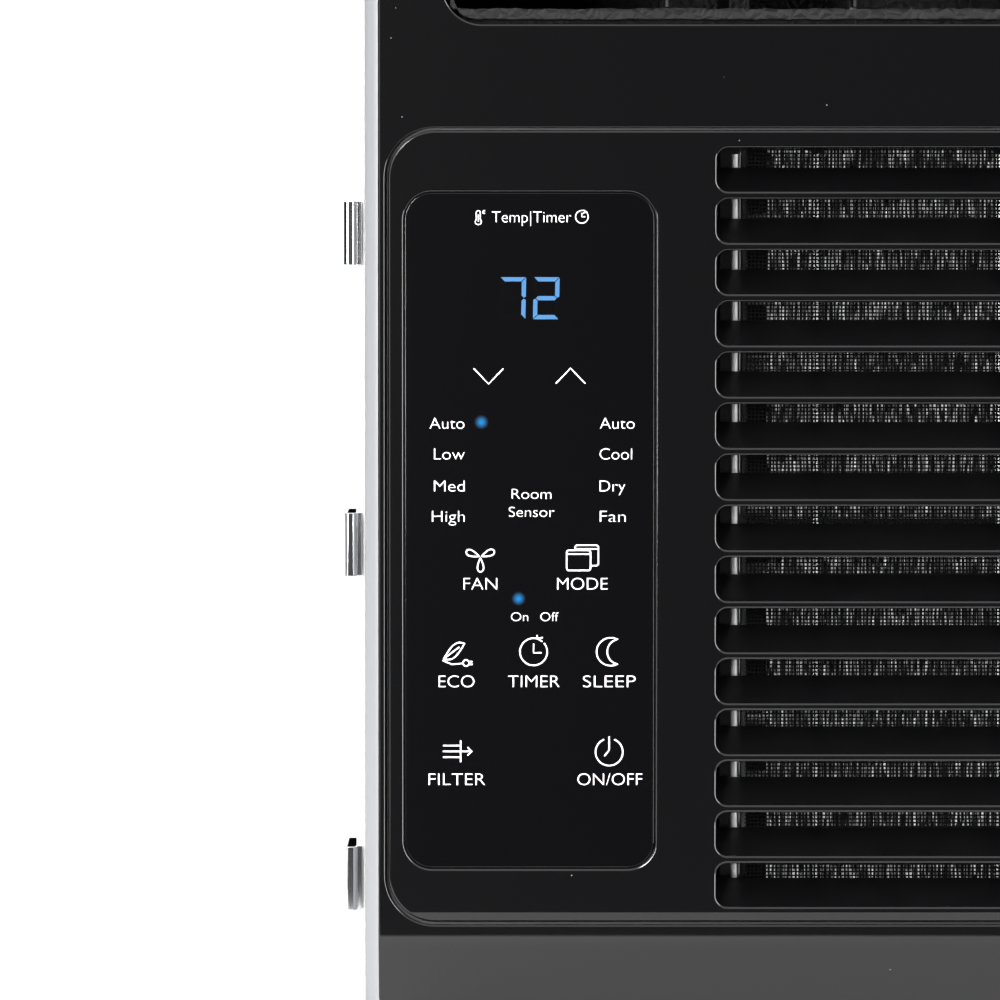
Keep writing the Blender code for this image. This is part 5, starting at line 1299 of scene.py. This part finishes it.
class AC_OT_case(bpy.types.Operator):
    """Painted steel case with vents, side rails and screws"""
    bl_idname = "ac.case"
    bl_label = "Case"

    def execute(self, context):
        settings = context.scene.ac_case
        half, top = CASE_HIGH.x, CASE_HIGH.z
        y0, y1 = CASE_HIGH.y - 222 * MM, CASE_HIGH.y - 137 * MM
        foot, reach, corner = 172.5 * MM, 2.5 * MM, 2.4 * MM
        vents = []
        for i in range(settings.vents):
            z = foot + i * settings.vent_pitch
            outline = rounded(y0, y1, z - reach, z + reach, corner, 6)
            for side in (-1, 1):
                low, high = sorted((side * (half - 3 * MM), side * (half + 1 * MM)))
                vents.append(prism_mesh(outline, "X", low, high))
            x = (i - (settings.vents - 1) / 2) * settings.vent_pitch * 2 + reach
            outline = rounded(x - reach, x + reach, y0, y1, corner, 6)
            vents.append(prism_mesh(outline, "Z", top - 3 * MM, top + 1 * MM))
        shell = without(case_mesh(), gathered(vents))
        piece("case_shell", shell, powder_coat(), replaces=["case_wrap"])
        for side_name in ("left", "right"):
            node = f"side_rail_{side_name}"
            low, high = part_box(node)
            outline = rounded(low.x, high.x, low.y, high.y, 0.7 * MM, 6)
            piece(f"rail_strip_{side_name}", prism_mesh(outline, "Z", low.z, high.z),
                  rail_enamel(), replaces=[node])
        screws()
        return {"FINISHED"}


def screws():
    """Pan-head screws along the flanks' feet and the guard's corners."""
    low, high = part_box("rear_guard")
    half, inset = CASE_HIGH.x, 8 * MM
    flank = [(y, 14 * MM) for y in (-120 * MM, 0.0, 120 * MM, CASE_HIGH.y - 20 * MM)]
    groups = [(f"flank_screws_{name}", 4 * MM, (0.0, turn, 0.0), [(x, y, z) for y, z in flank])
              for name, x, turn in (("left", -half, -math.pi / 2), ("right", half, math.pi / 2))]
    groups.append(("guard_screws", 3.6 * MM, (-math.pi / 2, 0.0, 0.0),
                   [(x, high.y, z) for x in (low.x + inset, 0.0, high.x - inset)
                    for z in (low.z + 34 * MM, high.z - inset)]))
    tree = screws_tree()
    for name, radius, turn, points in groups:
        heads = grow(tree, {"Radius": radius, "Turn": turn, "Material": bright_zinc()},
                     point_mesh(points))
        piece(name, heads, bright_zinc())


def point_mesh(points):
    """Loose points."""
    mesh = bpy.data.meshes.new("points")
    mesh.from_pydata(points, [], [])
    return mesh


def hook_sides(low, high, side):
    """Outer and inner edges of a hook's bead, as distances from the middle plane."""
    outer = high.x if side > 0 else -low.x
    return outer, outer - HOOK_WIDTH


def hook_channel(low, high, side):
    """Bright channel rolled round its front, seen in plan and run up its height."""
    wall = 0.75 * MM
    outer, inner = hook_sides(low, high, side)
    y0, y1 = low.y, low.y + 5 * MM
    reach = (outer - inner - wall) / 2
    flat = 0.6 * MM
    radius = reach - flat
    middle = (outer + inner) / 2
    front = y0 + wall / 2 + radius
    path = [(middle + reach, y1)]
    path += [(middle + flat + u, front - v) for u, v in arc(0, 0, radius, 0, 90, 8)]
    path += [(middle - flat + u, front - v) for u, v in arc(0, 0, radius, 90, 180, 8)]
    path += [(middle - reach, y1 - 0.6 * MM), (middle - reach - 1.9 * MM, y1 - 0.6 * MM)]
    vertices = []
    for z in (low.z, high.z):
        vertices += [(side * x, y, z) for x, y in path]
    count = len(path)
    faces = [[i, i + 1, count + i + 1, count + i] for i in range(count - 1)]
    mesh = bpy.data.meshes.new("channel")
    mesh.from_pydata(vertices, [], faces)
    made = link("channel", mesh)
    solid = made.modifiers.new("sheet", "SOLIDIFY")
    solid.thickness = wall
    solid.offset = 0.0
    soft = made.modifiers.new("edges", "BEVEL")
    soft.width = 0.2 * MM
    soft.segments = 3
    soft.limit_method = "ANGLE"
    mesh = plain_mesh(made)
    with edited(mesh) as bm:
        bmesh.ops.recalc_face_normals(bm, faces=bm.faces)
    return mesh


class AC_OT_side_hooks(bpy.types.Operator):
    """Bright hooks on both flanks, each with its dark core"""
    bl_idname = "ac.side_hooks"
    bl_label = "Side hooks"

    def execute(self, context):
        for side_name, side in (("left", -1), ("right", 1)):
            for place in ("upper", "middle", "lower"):
                node = f"hook_{side_name}_{place}"
                low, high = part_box(node)
                piece(f"{node}_clip", hook_channel(low, high, side), bright_zinc(),
                      replaces=[node])
                outer, inner = hook_sides(low, high, side)
                room = 0.8 * MM
                front = low.y + 2.0 * MM
                outline = [(outer - room, high.y - 1 * MM), (outer - room, front),
                           (outer - room - 0.5 * MM, front - 0.8 * MM),
                           (inner + room + 0.5 * MM, front - 0.8 * MM), (inner + room, front),
                           (inner + room, high.y - 1 * MM)]
                outline = [(side * x, y) for x, y in outline]
                core = prism_mesh(outline, "Z", low.z + 0.3 * MM, high.z - 0.1 * MM)
                piece(f"{node}_core", core, moulded_rubber(), bevel=0.25 * MM)
        return {"FINISHED"}


class AC_OT_inner_finishes(bpy.types.Operator):
    """Finishes of the inner pieces that keep their CAD shape; the bulkhead and scroll housing
    behind the duct get dark foam as painted shade
    """
    bl_idname = "ac.inner_finishes"
    bl_label = "Inner finishes"

    def execute(self, context):
        finishes = {
            "galvanised": galvanised_sheet, "black_satin": satin_polypropylene,
            "black_gloss": polished_abs, "case_grey": powder_coat, "overlay_black": printed_film,
            "filter_mesh": nylon_net, "duct_foam": dark_foam_and_shade, "aluminium": mill_aluminium,
            "copper": drawn_copper, "bright_steel": bright_zinc, "black_enamel": black_enamel,
            "rubber": moulded_rubber, "board_green": circuit_board,
            "display_grey": smoked_display, "fan_white": natural_polypropylene,
        }
        slots = {part["node"]: part["material_slot"] for part in frame["record"]["subparts"]}
        for name, node in frame["nodes"].items():
            # painted shade: these two get the dark foam finish in place of their own, so the inside
            # behind the outlet reads dark
            if name in ("bulkhead", "scroll_housing"):
                material = dark_foam_and_shade()
            elif name.startswith(("evaporator_plate", "condenser_plate")):
                material = coil_end(name)
            else:
                material = finishes[slots[name]]()
            for slot in node.material_slots:
                slot.material = material
        return {"FINISHED"}


# ---------------------------------------------------------------- stage
def softbox(name, place, aim, width, height, power):
    """A rectangular studio light turned to a point."""
    light = bpy.data.lights.new(name, "AREA")
    light.shape = "RECTANGLE"
    light.size = width
    light.size_y = height
    light.energy = power
    made = link(name, light)
    made.location = place
    made.rotation_euler = (Vector(aim) - Vector(place)).to_track_quat("-Z", "Y").to_euler()
    made.visible_camera = False


def studio_world():
    """White overhead and far behind the unit, dark behind the camera, faint light on the left."""
    world = bpy.data.worlds.new("studio")
    world.use_nodes = True
    tree = world.node_tree
    around = add(tree, "ShaderNodeTexCoord").outputs["Generated"]
    parts = add(tree, "ShaderNodeSeparateXYZ", {"Vector": around}).outputs
    above, behind, leftward, forward = [
        add(tree, "ShaderNodeMapRange", {
            "Value": parts[axis], "From Min": low, "From Max": high,
            "To Min": dim, "To Max": bright}).outputs["Result"]
        for axis, low, high, dim, bright in (
            ("Z", 0.2, 0.5, 0.0, 1.5), ("Y", 0.8, 0.92, 0.0, 1.3), ("X", -0.03, 0.03, 0.04, 0.02),
            ("Y", -0.97, -0.9, 1.0, 0.0))]
    light = leftward
    for operation, other in (("MULTIPLY", forward), ("ADD", 0.03), ("MAXIMUM", above),
                             ("MAXIMUM", behind)):
        light = add(tree, "ShaderNodeMath", {0: light, 1: other},
                    operation=operation).outputs["Value"]
    feed(tree, tree.nodes["Background"], {"Color": (1.0, 1.0, 1.0, 1.0), "Strength": light})
    return world


class AC_OT_stage(bpy.types.Operator):
    """Pale floor, soft studio light and the camera"""
    bl_idname = "ac.stage"
    bl_label = "Stage"

    def execute(self, context):
        near, far, side = FRONT_Y - 0.2, 4, 4
        mesh = bpy.data.meshes.new("floor")
        mesh.from_pydata([(-side, near, 0), (side, near, 0), (side, far, 0), (-side, far, 0)],
                         [], [(0, 1, 2, 3)])
        mesh.materials.append(studio_floor())
        link("floor", mesh)
        context.scene.world = studio_world()
        for name, place, width, height, power in (
                ("left softbox", (-1.1, -1.5, 0.6), 0.3, 1.5, 6.0),
                ("front softbox", (-0.76, -2.1, 0.5), 0.3, 0.9, 52.0),
                ("right softbox", (1.1, -1.4, 0.5), 0.5, 1.5, 46.0)):
            softbox(name, place, (-0.1, FRONT_Y, 0.18), width, height, power)
        aside, height, rise, distance, view_width = (35.75 * MM, 159.7 * MM, 90.3 * MM, 2.0,
                                                     293.0 * MM)
        camera = bpy.data.cameras.new("camera")
        camera.sensor_width = 36.0
        middle = Vector((FRAME_LOW.x + aside, FRONT_Y, height))
        place = middle + Vector((0.0, -distance, rise))
        camera.lens = camera.sensor_width * (place - middle).length / view_width
        made = link("camera", camera)
        made.location = place
        made.rotation_euler = (middle - place).to_track_quat("-Z", "Y").to_euler()
        context.scene.camera = made
        context.scene.view_settings.view_transform = "Standard"
        return {"FINISHED"}


# ---------------------------------------------------------------- add-on
OPERATORS = [AC_OT_stage, AC_OT_inner_finishes, AC_OT_front_moulding, AC_OT_intake_grille,
             AC_OT_touch_panel, AC_OT_air_filter, AC_OT_outlet, AC_OT_coils, AC_OT_case,
             AC_OT_side_hooks]


class AC_PT_panel(bpy.types.Panel):
    """Buttons for every group of pieces"""
    bl_idname = "AC_PT_panel"
    bl_label = "Air conditioner"
    bl_space_type = "VIEW_3D"
    bl_region_type = "UI"
    bl_category = "Air conditioner"

    def draw(self, context):
        for name in GROUPS:
            group = getattr(context.scene, name)
            box = self.layout.box()
            for key in group.bl_rna.properties.keys():
                if key not in ("rna_type", "name"):
                    box.prop(group, key)
        for operator in OPERATORS:
            self.layout.operator(operator.bl_idname)


def register():
    for cls in [*GROUPS.values(), *OPERATORS, AC_PT_panel]:
        bpy.utils.register_class(cls)
    for name, cls in GROUPS.items():
        setattr(bpy.types.Scene, name, PointerProperty(type=cls))


def unregister():
    for name in GROUPS:
        delattr(bpy.types.Scene, name)
    for cls in reversed([*GROUPS.values(), *OPERATORS, AC_PT_panel]):
        bpy.utils.unregister_class(cls)


def main():
    register()
    for operator in OPERATORS:
        group, action = operator.bl_idname.split(".")
        getattr(getattr(bpy.ops, group), action)()


if __name__ == "__main__":
    main()
